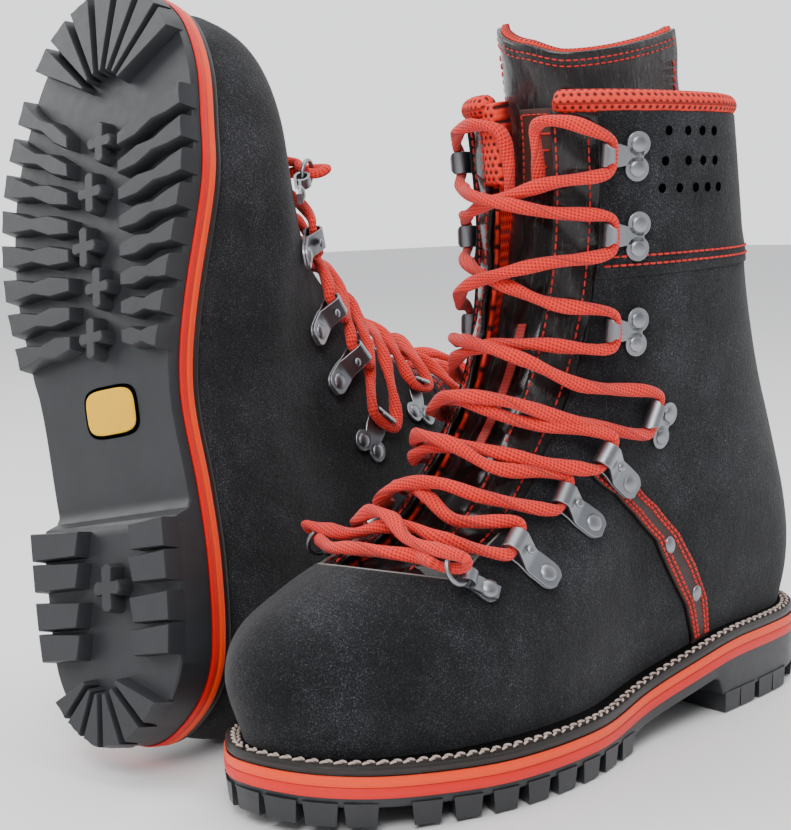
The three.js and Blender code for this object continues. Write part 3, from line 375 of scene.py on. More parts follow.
LOOKS = {
    "suede": suede(), "glossy_leather": glossy_leather(), "mesh_lining": honeycomb(), "lace_braid": braid(),
    "rubber": plain("rubber", srgb(40, 42, 45), 0.46, 0, 260, 0.3, 0.3, 0.16),
    "red_foam": plain("red_foam", srgb(228, 16, 6), 0.5, 0, 500, 0.2, 0.15, 0.05),
    "orange_foam": plain("orange_foam", srgb(255, 66, 0), 0.5, 0, 500, 0.2, 0.15, 0.05),
    "welt_leather": plain("welt_leather", srgb(34, 29, 27), 0.42, 0, 420, 0.4, 0.35, 0.25),
    "strap_leather": plain("strap_leather", srgb(52, 34, 31), 0.55, 0, 480, 0.45, 0.35, 0.25),
    "nickel": plain("nickel", (0.30, 0.31, 0.33, 1), 0.4, 1, 500, 0.06, 0.06, 0.12),
    "steel": plain("steel", (0.5, 0.5, 0.52, 1), 0.4, 1, 300, 0.1, 0.1, 0.1),
    "board": plain("board", srgb(170, 146, 112), 0.9),
    "footbed_fabric": plain("footbed_fabric", srgb(52, 52, 56), 0.95, 0, 900, 0.5, 0.4, 0.2),
    "badge": plain("badge", srgb(242, 184, 0), 0.35, 0, 400, 0.1, 0.1, 0.04),
    "label": plain("label", srgb(70, 44, 38), 0.65, 0, 600, 0.4, 0.25, 0.2),
    "red_thread": plain("red_thread", srgb(206, 40, 32), 0.7, 0, 1800, 0.3, 0.1, 0.15),
    "cream_thread": plain("cream_thread", srgb(196, 176, 166), 0.8, 0, 1800, 0.3, 0.1, 0.15),
    "cut_edge": plain("cut_edge", srgb(128, 125, 120), 0.95, 0, 700, 0.5, 0.3, 0.3),
    "dark": shadow(),
}


# ---- Meshes ----
class Shape:
    """Vertices and faces of one piece, in the left boot's own axes, in mm."""

    def __init__(self):
        self.verts, self.faces, self.uvs, self.count = [], [], [], 0

    def add(self, verts, faces, uvs=None):
        verts = np.asarray(verts, float).reshape(-1, 3)
        self.verts.append(verts)
        self.faces.extend([[i + self.count for i in f] for f in faces])
        self.uvs.append(np.zeros((len(verts), 2)) if uvs is None else np.asarray(uvs, float).reshape(-1, 2))
        self.count += len(verts)
        return self


def grid_faces(rows, cols, start=0, flip=False, wrap=False):
    faces = []
    for i in range(rows - 1):
        for j in range(cols if wrap else cols - 1):
            a, b = start + i * cols + j, start + i * cols + (j + 1) % cols
            quad = [a, b, b + cols, a + cols]
            faces.append(quad[::-1] if flip else quad)
    return faces


def make(name, shape, look, nodes=(), body="boot", bevel=0.0, sharp=False):
    made = []
    verts, uvs = np.vstack(shape.verts), np.vstack(shape.uvs)
    for side, place in PLACES.items():
        world = (verts @ place[:3, :3].T + place[:3, 3]) / 1000
        faces = [f[::-1] for f in shape.faces] if side == "right" else shape.faces
        mesh = bpy.data.meshes.new(f"{side}_{name}")
        mesh.from_pydata(world.tolist(), [], faces)
        layer = mesh.uv_layers.new(name="uv")
        index = np.empty(len(mesh.loops), np.int32)
        mesh.loops.foreach_get("vertex_index", index)
        layer.data.foreach_set("uv", uvs[index].astype(np.float32).ravel())
        mesh.materials.append(LOOKS[look])
        mesh.polygons.foreach_set("use_smooth", np.ones(len(mesh.polygons), bool))
        obj = bpy.data.objects.new(f"{side}_{name}", mesh)
        bpy.context.scene.collection.objects.link(obj)
        if bevel:
            mod = obj.modifiers.new("edges", "BEVEL")
            mod.width, mod.segments, mod.limit_method = bevel / 1000, 2, "ANGLE"
            mod.angle_limit = math.radians(35)
        if sharp or bevel:
            mesh.set_sharp_from_angle(angle=math.radians(40))
        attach(obj, f"{side}_{body}")
        if nodes:
            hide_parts(*[f"{side}_{n}" for n in nodes])
        made.append(obj)
    return made


def edge_shares(count, length, radius):
    """Even shares along a length, with extra ones inside the rounded borders."""
    r = min(radius / length, 0.2) if radius else 0
    inner = np.linspace(r, 1 - r, count)
    if not r:
        return inner
    return np.r_[[0, 0.12 * r, 0.4 * r], inner, [1 - 0.4 * r, 1 - 0.12 * r, 1]]


def slab(ring_of, angle_of, rows, cols, top, thick, lengths, radius=0.9, soft=None, wave=None):
    """A layer on the upper with rounded borders. ring_of(a, b), angle_of(k, b); lengths up and round."""
    a, b = np.meshgrid(edge_shares(rows, lengths[0], radius), edge_shares(cols, lengths[1], radius),
                       indexing="ij")
    k = ring_of(a, b)
    theta = angle_of(k, b)
    lift = np.full_like(k, 0.0) + (top(k, theta) if callable(top) else top)
    if wave is not None:
        lift = lift + wave(a, b)
    if radius:
        inset = np.minimum(np.minimum(a, 1 - a) * lengths[0], np.minimum(b, 1 - b) * lengths[1])
        short = np.clip(1 - inset / radius, 0, 1)
        drop = radius * (1 - np.sqrt(1 - short ** 2)) * 0.8
        lift = lift - (drop if soft is None else drop * soft(k, theta))
    outer, inner = surface(k, theta, lift), surface(k, theta, lift - thick)
    rows, cols = k.shape
    n = rows * cols
    uv = np.stack([b * lengths[1], a * lengths[0]], -1)
    faces = grid_faces(rows, cols, 0) + grid_faces(rows, cols, n, True)
    ring = ([j for j in range(cols)] + [i * cols + cols - 1 for i in range(1, rows)]
            + [(rows - 1) * cols + j for j in range(cols - 2, -1, -1)]
            + [i * cols for i in range(rows - 2, 0, -1)])
    faces += [[x, x + n, y + n, y] for x, y in zip(ring, ring[1:] + ring[:1])]
    return Shape().add(np.concatenate([outer.reshape(-1, 3), inner.reshape(-1, 3)]), faces,
                       np.concatenate([uv.reshape(-1, 2), uv.reshape(-1, 2)]))


def lengths_of(k0, k1, t0, t1):
    ks, ts = np.linspace(k0, k1, 30), np.linspace(t0, t1, 40)
    mid_t, mid_k = (t0 + t1) / 2, (k0 + k1) / 2
    up = np.linalg.norm(np.diff(ring_point(ks, np.full(30, mid_t)), axis=0), axis=1).sum()
    around = np.linalg.norm(np.diff(ring_point(np.full(40, mid_k), ts), axis=0), axis=1).sum()
    return up, around


def sweep(path, radius_of, sides=12, flat=1.0, ups=None, closed=False):
    """A tube along a path of points. radius_of gives the radius at every point."""
    path = np.asarray(path, float)
    tangent = unit(np.roll(path, -1, 0) - np.roll(path, 1, 0) if closed
                   else np.gradient(path, axis=0))
    up = np.array([0.0, 0.0, 1.0]) if ups is None else ups[0]
    rows = []
    length = np.r_[0, np.cumsum(np.linalg.norm(np.diff(path, axis=0), axis=1))]
    angle = np.linspace(0, 2 * np.pi, sides, endpoint=False)
    for i, (p, t) in enumerate(zip(path, tangent)):
        up = ups[i] if ups is not None else up
        up = unit(up - t * (up @ t))
        across = np.cross(t, up)
        r = radius_of[i]
        rows.append(p + r * (np.cos(angle)[:, None] * across + flat * np.sin(angle)[:, None] * up))
    n = len(path)
    verts = np.vstack(rows)
    faces = grid_faces(n, sides, 0, False, True)
    if closed:
        last = (n - 1) * sides
        faces += [[last + j, last + (j + 1) % sides, (j + 1) % sides, j] for j in range(sides)]
    else:
        faces += [list(range(sides))[::-1], [(n - 1) * sides + j for j in range(sides)]]
    uvs = np.stack([np.tile(np.arange(sides) / sides, n), np.repeat(length, sides)], -1)
    return verts, faces, uvs


def stitches(shape, points, normals, spacing, length, radius, slant=0.0):
    """Single stitches along a line of points, each a small rounded bar that dips at its ends."""
    points = np.asarray(points, float)
    run = np.r_[0, np.cumsum(np.linalg.norm(np.diff(points, axis=0), axis=1))]
    centres = np.arange(spacing / 2, run[-1], spacing)
    at = np.stack([np.interp(centres, run, points[:, c]) for c in range(3)], -1)
    n = unit(np.stack([np.interp(centres, run, normals[:, c]) for c in range(3)], -1))
    t = np.stack([np.interp(centres, run, np.gradient(points, axis=0)[:, c]) for c in range(3)], -1)
    t = unit(t - n * (t * n).sum(-1, keepdims=True))
    s = np.cross(n, t)
    if slant:
        t, s = unit(t + slant * s), unit(s - slant * t)
    xs = np.array([-0.5, -0.36, 0, 0.36, 0.5]) * length
    rs = np.array([0.35, 0.9, 1, 0.9, 0.35])
    zs = [-0.5, 0, 0.35, 0, -0.5]
    ang = np.linspace(0, 2 * np.pi, 6, endpoint=False)
    local = np.array([[x, radius * r * math.cos(a), radius * (r * math.sin(a) + z)]
                      for x, r, z in zip(xs, rs, zs) for a in ang])
    faces = grid_faces(5, 6, 0, False, True) + [list(range(6))[::-1], list(range(24, 30))]
    for c, tt, ss, nn in zip(at, t, s, n):
        shape.add(c + local[:, :1] * tt + local[:, 1:2] * ss + local[:, 2:] * nn, faces)
    return shape


def stitch_on(shape, ks, thetas, lift, spacing=3.2, length=2.6, radius=0.42, slant=0.0):
    return stitches(shape, surface(ks, thetas, lift), normal_at(ks, thetas), spacing, length, radius, slant)


def tube_on(shape, ks, thetas, lift, radius, sides=8):
    points = surface(ks, thetas, lift)
    return shape.add(*sweep(points, np.full(len(points), radius), sides, ups=normal_at(ks, thetas)))


# ---- Upper ----
def quarters():
    start, end = SUEDE_EDGE[1], 360 + SUEDE_EDGE[0]
    soft = lambda k, theta: smooth(k, 3.3, 3.5)
    return slab(lambda a, b: -0.12 + (COLLAR_SEAM + 0.12) * a, lambda k, b: start + (end - start) * b,
                90, 150, 0, 2.2, lengths_of(0, COLLAR_SEAM, start, end), 0.9, soft)


def vamp():
    foot = lambda b: throat_foot(SUEDE_EDGE[0] + (SUEDE_EDGE[1] - SUEDE_EDGE[0]) * b)
    soft = lambda k, theta: smooth(k, 2.8, 3.1) * (np.abs(theta - 4) < 41.9)
    return slab(lambda a, b: -0.12 + (foot(b) + 0.12) * a,
                lambda k, b: SUEDE_EDGE[0] + (SUEDE_EDGE[1] - SUEDE_EDGE[0]) * b,
                60, 60, 0, 2.2, lengths_of(0, 4, *SUEDE_EDGE), 0.9, soft)


def upper():
    shape, other = quarters(), vamp()
    return shape.add(other.verts[0], other.faces, other.uvs[0])


def collar_panel():
    start, end = SUEDE_EDGE[1], 360 + SUEDE_EDGE[0]
    return slab(lambda a, b: COLLAR_SEAM - 0.06 + (PANEL_TOP - COLLAR_SEAM + 0.06) * a,
                lambda k, b: start + (end - start) * b,
                30, 130, lambda k, theta: 0.9 * (1 - smooth(k, 8.5, 9.0)), 2.2,
                lengths_of(COLLAR_SEAM, PANEL_TOP, start, end), 1.0)


def throat_line():
    """Ring and angle along the suede's edge: down the outer side, round the throat, up the inner side."""
    inner, outer = SUEDE_EDGE
    down = np.linspace(PANEL_TOP, throat_foot(outer), 70)
    across = np.linspace(outer, inner, 50)
    foot = throat_foot(np.clip(across, inner, outer))
    ks = np.r_[down, foot[1:-1], down[::-1]]
    return ks, np.r_[np.full(70, outer), across[1:-1], np.full(70, inner)]


make("upper", upper(), "suede", ["upper"], sharp=True)
make("collar_panel", collar_panel(), "suede", ["collar_panel"])
line_k, line_t = throat_line()
foot_edge = line_k < 4.6
make("throat_cut_edge", tube_on(Shape(), line_k[foot_edge], line_t[foot_edge], -0.9, 0.75), "cut_edge")

thread = Shape()
around = np.linspace(SUEDE_EDGE[1] + 2, 358 + SUEDE_EDGE[0], 400)
for level in (8.53, 8.65):
    stitch_on(thread, np.full(400, level), around, 1.0 if level < 8.6 else 0.85, 3.4, 2.8, 0.48)
make("collar_stitching", thread, "red_thread")


def vent_hole_shades():
    # Painted shade: each vent hole is a near-black, non-reflective disc lying on the suede, standing in for
    # the shade inside the hole.
    shape = Shape()
    rows = [(10.45, [78, 88.5, 97, 104.5]), (10.0, [75.5, 88, 96.5, 104]),
            (9.6, [73.5, 82.5, 91.5, 98.5, 105.5])]
    for k, thetas in rows:
        for theta in thetas:
            for side in (1, -1):
                n = normal_at(k, theta * side)
                centre = surface(k, theta * side, 0.12)
                side_axis = unit(np.cross(n, [0, 0, 1.0]))
                up = np.cross(side_axis, n)
                angle = np.linspace(0, 2 * np.pi, VENT_CORNERS, endpoint=False)
                circle = np.cos(angle)[:, None] * side_axis + np.sin(angle)[:, None] * up
                rim = centre + VENT_RADIUS * circle
                deep = centre - 0.5 * n + VENT_FLOOR_RADIUS * circle
                walls = [[j, (j + 1) % VENT_CORNERS, VENT_CORNERS + (j + 1) % VENT_CORNERS, VENT_CORNERS + j]
                         for j in range(VENT_CORNERS)]
                floor = [list(range(VENT_CORNERS, 2 * VENT_CORNERS))]
                shape.add(np.vstack([rim, deep + 0.55 * n]), walls + floor)
    return shape


make("vent_hole_shades", vent_hole_shades(), "dark")


# ---- Strap on the outer side ----
def side_strap():
    return slab(lambda a, b: 5.5 * a, strap_angle, 60, 10, STRAP_LIFT + STRAP_THICKNESS - 0.6,
                STRAP_THICKNESS, (128, 13), 0.8)


make("side_strap", side_strap(), "strap_leather", ["side_strap"])
thread = Shape()
ks = np.linspace(0.12, 5.35, 160)
for share in (0.1, 0.27, 0.73, 0.9):
    for slant in (0.5, -0.5):
        stitch_on(thread, ks, strap_angle(ks, share), STRAP_LIFT + STRAP_THICKNESS - 0.45,
                  2.7, 2.2, 0.4, slant)
make("strap_stitching", thread, "red_thread")


def dome(shape, centre, normal, radius, height, stretch=1.0, up=(0, 0, 1.0)):
    """A rivet head: a flat rim and a low dome."""
    side_axis = unit(np.cross(up, normal))
    up = np.cross(normal, side_axis)
    angle = np.linspace(0, 2 * np.pi, 28, endpoint=False)
    circle = np.cos(angle)[:, None] * side_axis + stretch * np.sin(angle)[:, None] * up
    profile = [(1.0, -0.6), (1.0, 0.12), (0.93, 0.34), (0.8, 0.6), (0.6, 0.82), (0.35, 0.95), (0.1, 1.0)]
    rows = np.vstack([centre + radius * r * circle + height * h * normal for r, h in profile])
    caps = [list(range(28))[::-1], list(range(6 * 28, 7 * 28))]
    faces = grid_faces(len(profile), 28, 0, False, True) + caps
    shape.add(rows, faces)
    return shape


rivets = Shape()
for k, theta in STRAP_RIVETS:
    dome(rivets, surface(k, theta, STRAP_LIFT + STRAP_THICKNESS - 0.6), normal_at(k, theta), 2.9, 1.2, 1.25)
make("strap_rivets", rivets, "nickel")


# ---- Throat: facings, tongue, lining ----
def facing(front, back):
    low, high = min(front, back), max(front, back)
    angle_of = lambda k, b: low + (high - low) * b
    ring_of = lambda a, b: (throat_foot(angle_of(0, b)) - 0.1) * (1 - a) + PANEL_TOP * a
    ripple = lambda a, b: 0.5 * np.sin(a * 55 + 5 * b) * smooth(a, 0, 0.1)
    return slab(ring_of, angle_of, 120, 14, -1.9, 1.6, lengths_of(4, PANEL_TOP, low, high), 0.9, None, ripple)


for word, front, back in (("outer", THROAT_EDGE[1], FACING_BACK[1]),
                          ("inner", THROAT_EDGE[0] - 10, FACING_BACK[0])):
    make(f"{word}_facing", facing(front, back), "glossy_leather", [f"{word}_facing"])
thread = Shape()
for front, step in ((THROAT_EDGE[1], 1), (THROAT_EDGE[0] - 10, -1)):
    for inset in (2.4, 17.5 if step > 0 else 20):
        theta = front + step * inset
        ks = np.linspace(throat_foot(np.clip(theta, *SUEDE_EDGE)) + 0.15, PANEL_TOP - 0.1, 200)
        stitch_on(thread, ks, np.full(200, theta), -1.65, 3.4, 2.7, 0.42)
make("facing_stitching", thread, "red_thread")


def tongue_depth(k, theta=0):
    return 8.4 + 9 * smooth(k, 6, 11)


def tongue_top(theta):
    middle, half = sum(TONGUE_EDGE) / 2, (TONGUE_EDGE[1] - TONGUE_EDGE[0]) / 2
    return TONGUE_TOP - 0.28 + 0.4 * (np.abs(theta - middle) / half) ** 1.6


def tongue(top, thick, raise_by, radius):
    low, high = TONGUE_EDGE
    angle_of = lambda k, b: low + (high - low) * b
    ring_of = lambda a, b: 3.6 * (1 - a) + (tongue_top(angle_of(0, b)) + raise_by) * a
    ripple = lambda a, b: 0.35 * np.sin(a * 70 + 9 * b)
    return slab(ring_of, angle_of, 120, 40, lambda k, theta: top - tongue_depth(k), thick,
                lengths_of(3.6, TONGUE_TOP, low, high), radius, None, ripple)


make("tongue", tongue(0.0, 2.0, 0, 1.0), "glossy_leather", ["tongue"])
make("tongue_lining", tongue(-2.1, 2.4, 0.035, 1.1), "mesh_lining")
thread = Shape()
thetas = np.linspace(TONGUE_EDGE[0] + 3, TONGUE_EDGE[1] - 3, 160)
for down in (0.1, 0.17):
    ks = tongue_top(thetas) - down
    stitch_on(thread, ks, thetas, 0.1 - tongue_depth(ks), 2.8, 2.1, 0.34)
for theta in (TONGUE_EDGE[1] - 5, TONGUE_EDGE[0] + 5):
    ks = np.linspace(10.2, 11.5, 60)
    stitch_on(thread, ks, np.full(60, theta), 0.1 - tongue_depth(ks), 3.2, 2.6, 0.42)
make("tongue_stitching", thread, "red_thread")


def strip(k0, k1, t0, t1, top, thick, radius=0.4):
    lift = top if callable(top) else lambda k, theta: top + 0 * k
    return slab(lambda a, b: k0 + (k1 - k0) * a, lambda k, b: t0 + (t1 - t0) * b, 24, 12, lift, thick,
                lengths_of(k0, k1, t0, t1), radius)


on_tongue = lambda above: lambda k, theta=0: above - tongue_depth(k)
make("tongue_label", strip(9.6, 10.75, -6, 26, on_tongue(1.0), 0.9), "label", ["tongue_label"])
thread = Shape()
for ks, ts in ((np.linspace(9.66, 10.69, 30), np.full(30, -4.0)),
               (np.linspace(9.66, 10.69, 30), np.full(30, 24.0)),
               (np.full(30, 9.68), np.linspace(-4, 24, 30)), (np.full(30, 10.67), np.linspace(-4, 24, 30))):
    stitch_on(thread, ks, ts, 1.05 - tongue_depth(ks), 2.6, 2.1, 0.38)
for level, t0, t1 in ((10.4, 1, 19), (10.17, 3, 17), (9.94, 5, 15)):
    tube_on(thread, np.full(12, level), np.linspace(t0, t1, 12), 1.1 - tongue_depth(level), 0.5, 6)
make("label_stitching", thread, "red_thread")
make("pull_strip", strip(6.15, 7.9, 4, 11, on_tongue(1.2), 1.1), "lace_braid")


def collar_roll():
    """Padded binding over the collar's edge, with rounded ends at the throat."""
    start, end = THROAT_EDGE[1] + 2, 352
    thetas = np.linspace(start, end, 220)
    phi = np.linspace(0, 2 * np.pi, 28, endpoint=False)
    ends = np.minimum(np.linspace(0, 1, 220), np.linspace(1, 0, 220)) * 60
    size = np.sqrt(np.clip(1 - (1 - np.clip(ends, 0, 1)) ** 2, 0.002, 1))
    ks = 10.86 + 4.2 * np.sin(phi)[None, :] * size[:, None] / 26
    lifts = -3.7 + 4.7 * np.cos(phi)[None, :] * size[:, None] + 0.25 * np.sin(thetas * 0.3)[:, None]
    points = surface(ks, np.broadcast_to(thetas[:, None], ks.shape), lifts)
    uv = np.stack(np.broadcast_arrays(thetas[:, None] * 0.95, phi[None, :] * 4.3), -1)
    faces = grid_faces(220, 28, 0, True, True) + [list(range(28)), list(range(219 * 28, 220 * 28))[::-1]]
    return Shape().add(points, faces, uv)


make("collar_binding", collar_roll(), "mesh_lining", ["collar_binding"])
lining_low, lining_high = THROAT_EDGE[1] + 1, 342
lining = slab(lambda a, b: 0.1 + 10.75 * a, lambda k, b: lining_low + (lining_high - lining_low) * b,
              60, 90, -6.0, 1.6, lengths_of(0.1, 10.8, lining_low, lining_high), 0.8)
make("collar_lining", lining, "mesh_lining", ["collar_lining"])
make("inner_corner", strip(9.7, 10.9, -16, -3, -1.0, 6.5, 2.6), "mesh_lining")


# ---- Fittings ----
def fitting_frame(fitting, side, lift=0.0):
    (rk, rt), (lk, lt) = fitting["rivet"], fitting["loop"]
    mk, mt = (rk + lk) / 2, (rt + lt) / 2 * side
    out = normal_at(mk, mt)
    away = surface(rk, rt * side) - surface(lk, lt * side)
    away = unit(away - out * (away @ out))
    along = np.cross(out, away)
    origin = surface(mk, mt, PLATE_LIFT + lift) + away * fitting["reach"] / 2
    frame_matrix = np.eye(4)
    frame_matrix[:3] = np.column_stack([away, along, out, origin])
    return frame_matrix


def put(matrix, points):
    return np.asarray(points, float) @ matrix[:3, :3].T + matrix[:3, 3]


def band(shape, matrix, path, half_of, thick=PLATE):
    """Bent strip of metal: a path in the fitting's xz plane, a thickness, and a half width along it."""
    path = np.asarray(path, float)
    tangent = unit(np.gradient(path, axis=0))
    normal = np.stack([-tangent[:, 1], tangent[:, 0]], -1)
    rows = []
    for p, n, h in zip(path, normal, half_of(path)):
        a, b = p + n * thick / 2, p - n * thick / 2
        rows += [[a[0], -h, a[1]], [a[0], h, a[1]], [b[0], h, b[1]], [b[0], -h, b[1]]]
    count = len(path)
    faces = grid_faces(count, 4, 0, False, True) + [[3, 2, 1, 0], [(count - 1) * 4 + j for j in range(4)]]
    shape.add(put(matrix, rows), faces)


def arc(cx, cz, radius, start, end, steps):
    a = np.radians(np.linspace(start, end, steps))
    return [[cx + radius * math.cos(x), cz + radius * math.sin(x)] for x in a]


def disc(shape, matrix, x, y, radius, z0, z1, sides=30):
    angle = np.linspace(0, 2 * np.pi, sides, endpoint=False)
    ring = np.stack([x + radius * np.cos(angle), y + radius * np.sin(angle)], -1)
    rows = [[*p, z] for z in (z0, z1) for p in ring]
    faces = grid_faces(2, sides, 0, False, True) + [list(range(sides))[::-1], list(range(sides, 2 * sides))]
    shape.add(put(matrix, rows), faces)


def head(shape, matrix, x, y, z, radius=3.3, height=1.15):
    dome(shape, put(matrix, [[x, y, z]])[0], matrix[:3, 2], radius, height, 1.0, matrix[:3, 1])


def eyelet(shape, fitting, side, lift):
    matrix = fitting_frame(fitting, side, lift)
    reach, half = fitting["reach"], fitting["width"] / 2
    r = CHANNEL + PLATE / 2
    ends = [[x, PLATE / 2] for x in np.linspace(5.4, -reach, 18)]
    loop = arc(-reach, CHANNEL_OUT, r, -90, -290, 22)[1:]
    back = [[-9.5, 3.0], [-8.2, 2.2]] + [[x, 1.5 * PLATE + 0.05] for x in np.linspace(-7, 5.4, 14)]
    half_of = lambda p: np.where(p[:, 0] > 0.6,
                                 np.sqrt(np.clip(half ** 2 - (p[:, 0] - 0.6) ** 2, 0.6, None)), half
                                 - 0.9 * smooth(-p[:, 0], 5, 12))
    band(shape, matrix, ends + loop + back, half_of)
    head(shape, matrix, 0, 0, 2 * PLATE, 3.6, 1.3)
    head(shape, matrix, -11.5, 0, 7.2, 1.9, 0.9)


def hook(shape, fitting, side, spread):
    matrix = fitting_frame(fitting, side)
    reach, half = fitting["reach"], fitting["width"] / 2
    path = [[x, PLATE / 2] for x in np.linspace(2.5, -reach, 14)]
    path += arc(-reach, CHANNEL_OUT, CHANNEL + PLATE / 2, -90, -262, 20)[1:]
    curl = lambda p: half - 1.8 * smooth(p[:, 1], 5.6, 7.9) - 1.0 * smooth(p[:, 0], -9, -3)
    band(shape, matrix, path, curl)
    for y in (-spread, spread):
        disc(shape, matrix, 0, y, 4.9, 0, PLATE)
        head(shape, matrix, 0, y, PLATE)


def ring_clip(shape, side):
    matrix = fitting_frame(RING_CLIP, side)
    reach = RING_CLIP["reach"]
    path = ([[x, PLATE / 2] for x in np.linspace(4.6, -reach, 14)]
            + arc(-reach, BARREL_OUT, 2.4 + PLATE / 2, -90, -400, 22)[1:] + [[-4.5, 2.4], [4.6, 1.9]])
    half_of = lambda p: np.interp(p[:, 0], [-6, 0, 2.2, 4.6], [2.5, 4.3, 4.6, 2.6])
    band(shape, matrix, path, half_of)
    head(shape, matrix, 0.4, 0, 2 * PLATE, 3.6, 1.7)


def ring_hinge(side):
    matrix = fitting_frame(RING_CLIP, side)
    turn = np.array(Matrix.Rotation(math.radians(RING_RISE), 4, "Y"))
    tilt = np.array(Matrix.Rotation(math.pi / 2, 4, "X"))
    move = np.eye(4)
    move[:3, 3] = (-RING_CLIP["reach"], 0, BARREL_OUT)
    return matrix @ move @ turn @ tilt


def strap_lift(side, index):
    return STRAP_THICKNESS + STRAP_LIFT if side > 0 and index == 2 else 0.0


for word, side in (("outer", 1), ("inner", -1)):
    rows = Shape()
    for index, fitting in enumerate(EYELETS):
        eyelet(rows, fitting, side, strap_lift(side, index))
    make(f"{word}_eyelets", rows, "nickel", [f"{word}_eyelets"], bevel=0.3)
    hooks = Shape()
    for fitting in SPEED_HOOKS:
        hook(hooks, fitting, side, 4.7)
    make(f"{word}_speed_hooks", hooks, "nickel", [f"{word}_speed_hooks"], bevel=0.3)
    lock = Shape()
    hook(lock, LOCK_HOOK, side, 4.9)
    make(f"{word}_lock_hook", lock, "nickel", [f"{word}_lock_hook"], bevel=0.3)
    clip = Shape()
    ring_clip(clip, side)
    make(f"{word}_ring_clip", clip, "nickel", [f"{word}_ring_clip"], bevel=0.25)
    angle = np.linspace(0, 2 * np.pi, 48, endpoint=False)
    circle = np.stack([RING_RADIUS * np.cos(angle) - RING_RADIUS, 0 * angle, RING_RADIUS * np.sin(angle)], -1)
    wire = Shape().add(*sweep(put(ring_hinge(side), circle), np.full(48, RING_WIRE), 12, closed=True,
                              ups=np.repeat([ring_hinge(side)[:3, 1]], 48, 0)))
    make(f"{word}_lace_ring", wire, "nickel", [f"{word}_lace_ring"], f"{word}_ring")


# ---- Lace ----
def through_loop(fitting, side, lift):
    matrix = fitting_frame(fitting, side, lift)
    centre = put(matrix, [[-fitting["reach"], 0, CHANNEL_OUT]])[0]
    along, towards = matrix[:3, 1] * side, -matrix[:3, 0]
    half = fitting["width"] / 2
    return [centre + along * up + towards * forward for up, forward in
            ((-half - 2.4, 2.6), (-half, 0.2), (half, 0.2), (half + 2.4, 2.6))]


def through_ring(side):
    hinge = ring_hinge(side)
    return list(put(hinge, [[-12.5, -6.6, 0], [-9.4, -5.2, 0], [-6, -0.3, 0], [-6.8, 5.4, 0], [-10, 7.2, 0]]))


def strand(start, end, side, crossing, height):
    points = []
    bulge = crossing - (start["loop"][0] + end["loop"][0]) / 2
    leave, arrive = start["loop"][0] + STRAND_END, end["loop"][0] - STRAND_END
    for i in range(4):
        t = (i + 1) / 5
        theta = side * ((start["loop"][1] - 10) * (1 - t) - (end["loop"][1] - 10) * t)
        k = leave * (1 - t) + arrive * t + bulge * 4 * t * (1 - t)
        points.append(surface(k, theta, 3.9 + (height - 3.9) * math.sin(math.pi * t) ** 2))
    return points


def lace_half(side, height):
    route = []
    for level in range(1, len(LEVELS)):
        route += strand(LEVELS[level - 1], LEVELS[level], side, CROSSINGS[level - 1], height)
        side = -side
        route += through_loop(LEVELS[level], side, strap_lift(side, level - 1))
    tuck = (34, 22, 17, 16, 16) if side > 0 else (-24, -10, -1, 0, 0)
    route += [surface(k, t, lift) for k, t, lift in
              zip((10.6, 10.62, 10.5, 10.1, 9.6), tuck, (3.8, 2.6, -0.8, -3.2, -3.4))]
    return route


def centripetal(points, steps):
    p = np.asarray(points, float)
    p = np.vstack([2 * p[0] - p[1], p, 2 * p[-1] - p[-2]])
    out = []
    for i in range(1, len(p) - 2):
        p0, p1, p2, p3 = p[i - 1:i + 3]
        t0 = 0.0
        t1 = t0 + max(np.linalg.norm(p1 - p0), 1e-4) ** 0.5
        t2 = t1 + max(np.linalg.norm(p2 - p1), 1e-4) ** 0.5
        t3 = t2 + max(np.linalg.norm(p3 - p2), 1e-4) ** 0.5
        for t in np.linspace(t1, t2, steps, endpoint=False):
            a1 = (t1 - t) / (t1 - t0) * p0 + (t - t0) / (t1 - t0) * p1
            a2 = (t2 - t) / (t2 - t1) * p1 + (t - t1) / (t2 - t1) * p2
            a3 = (t3 - t) / (t3 - t2) * p2 + (t - t2) / (t3 - t2) * p3
            b1 = (t2 - t) / (t2 - t0) * a1 + (t - t0) / (t2 - t0) * a2
            b2 = (t3 - t) / (t3 - t1) * a2 + (t - t1) / (t3 - t1) * a3
            out.append((t2 - t) / (t2 - t1) * b1 + (t - t1) / (t2 - t1) * b2)
    return np.array(out + [p[-2]])


def twisted(path, angles):
    """Directions across a path that turn about it by the given angles."""
    tangent = unit(np.gradient(path, axis=0))
    up, ups = np.array([0.0, 0.0, 1.0]), []
    for t, angle in zip(tangent, angles):
        up = unit(up - t * (up @ t))
        ups.append(up * math.cos(angle) + np.cross(t, up) * math.sin(angle))
    return np.array(ups)


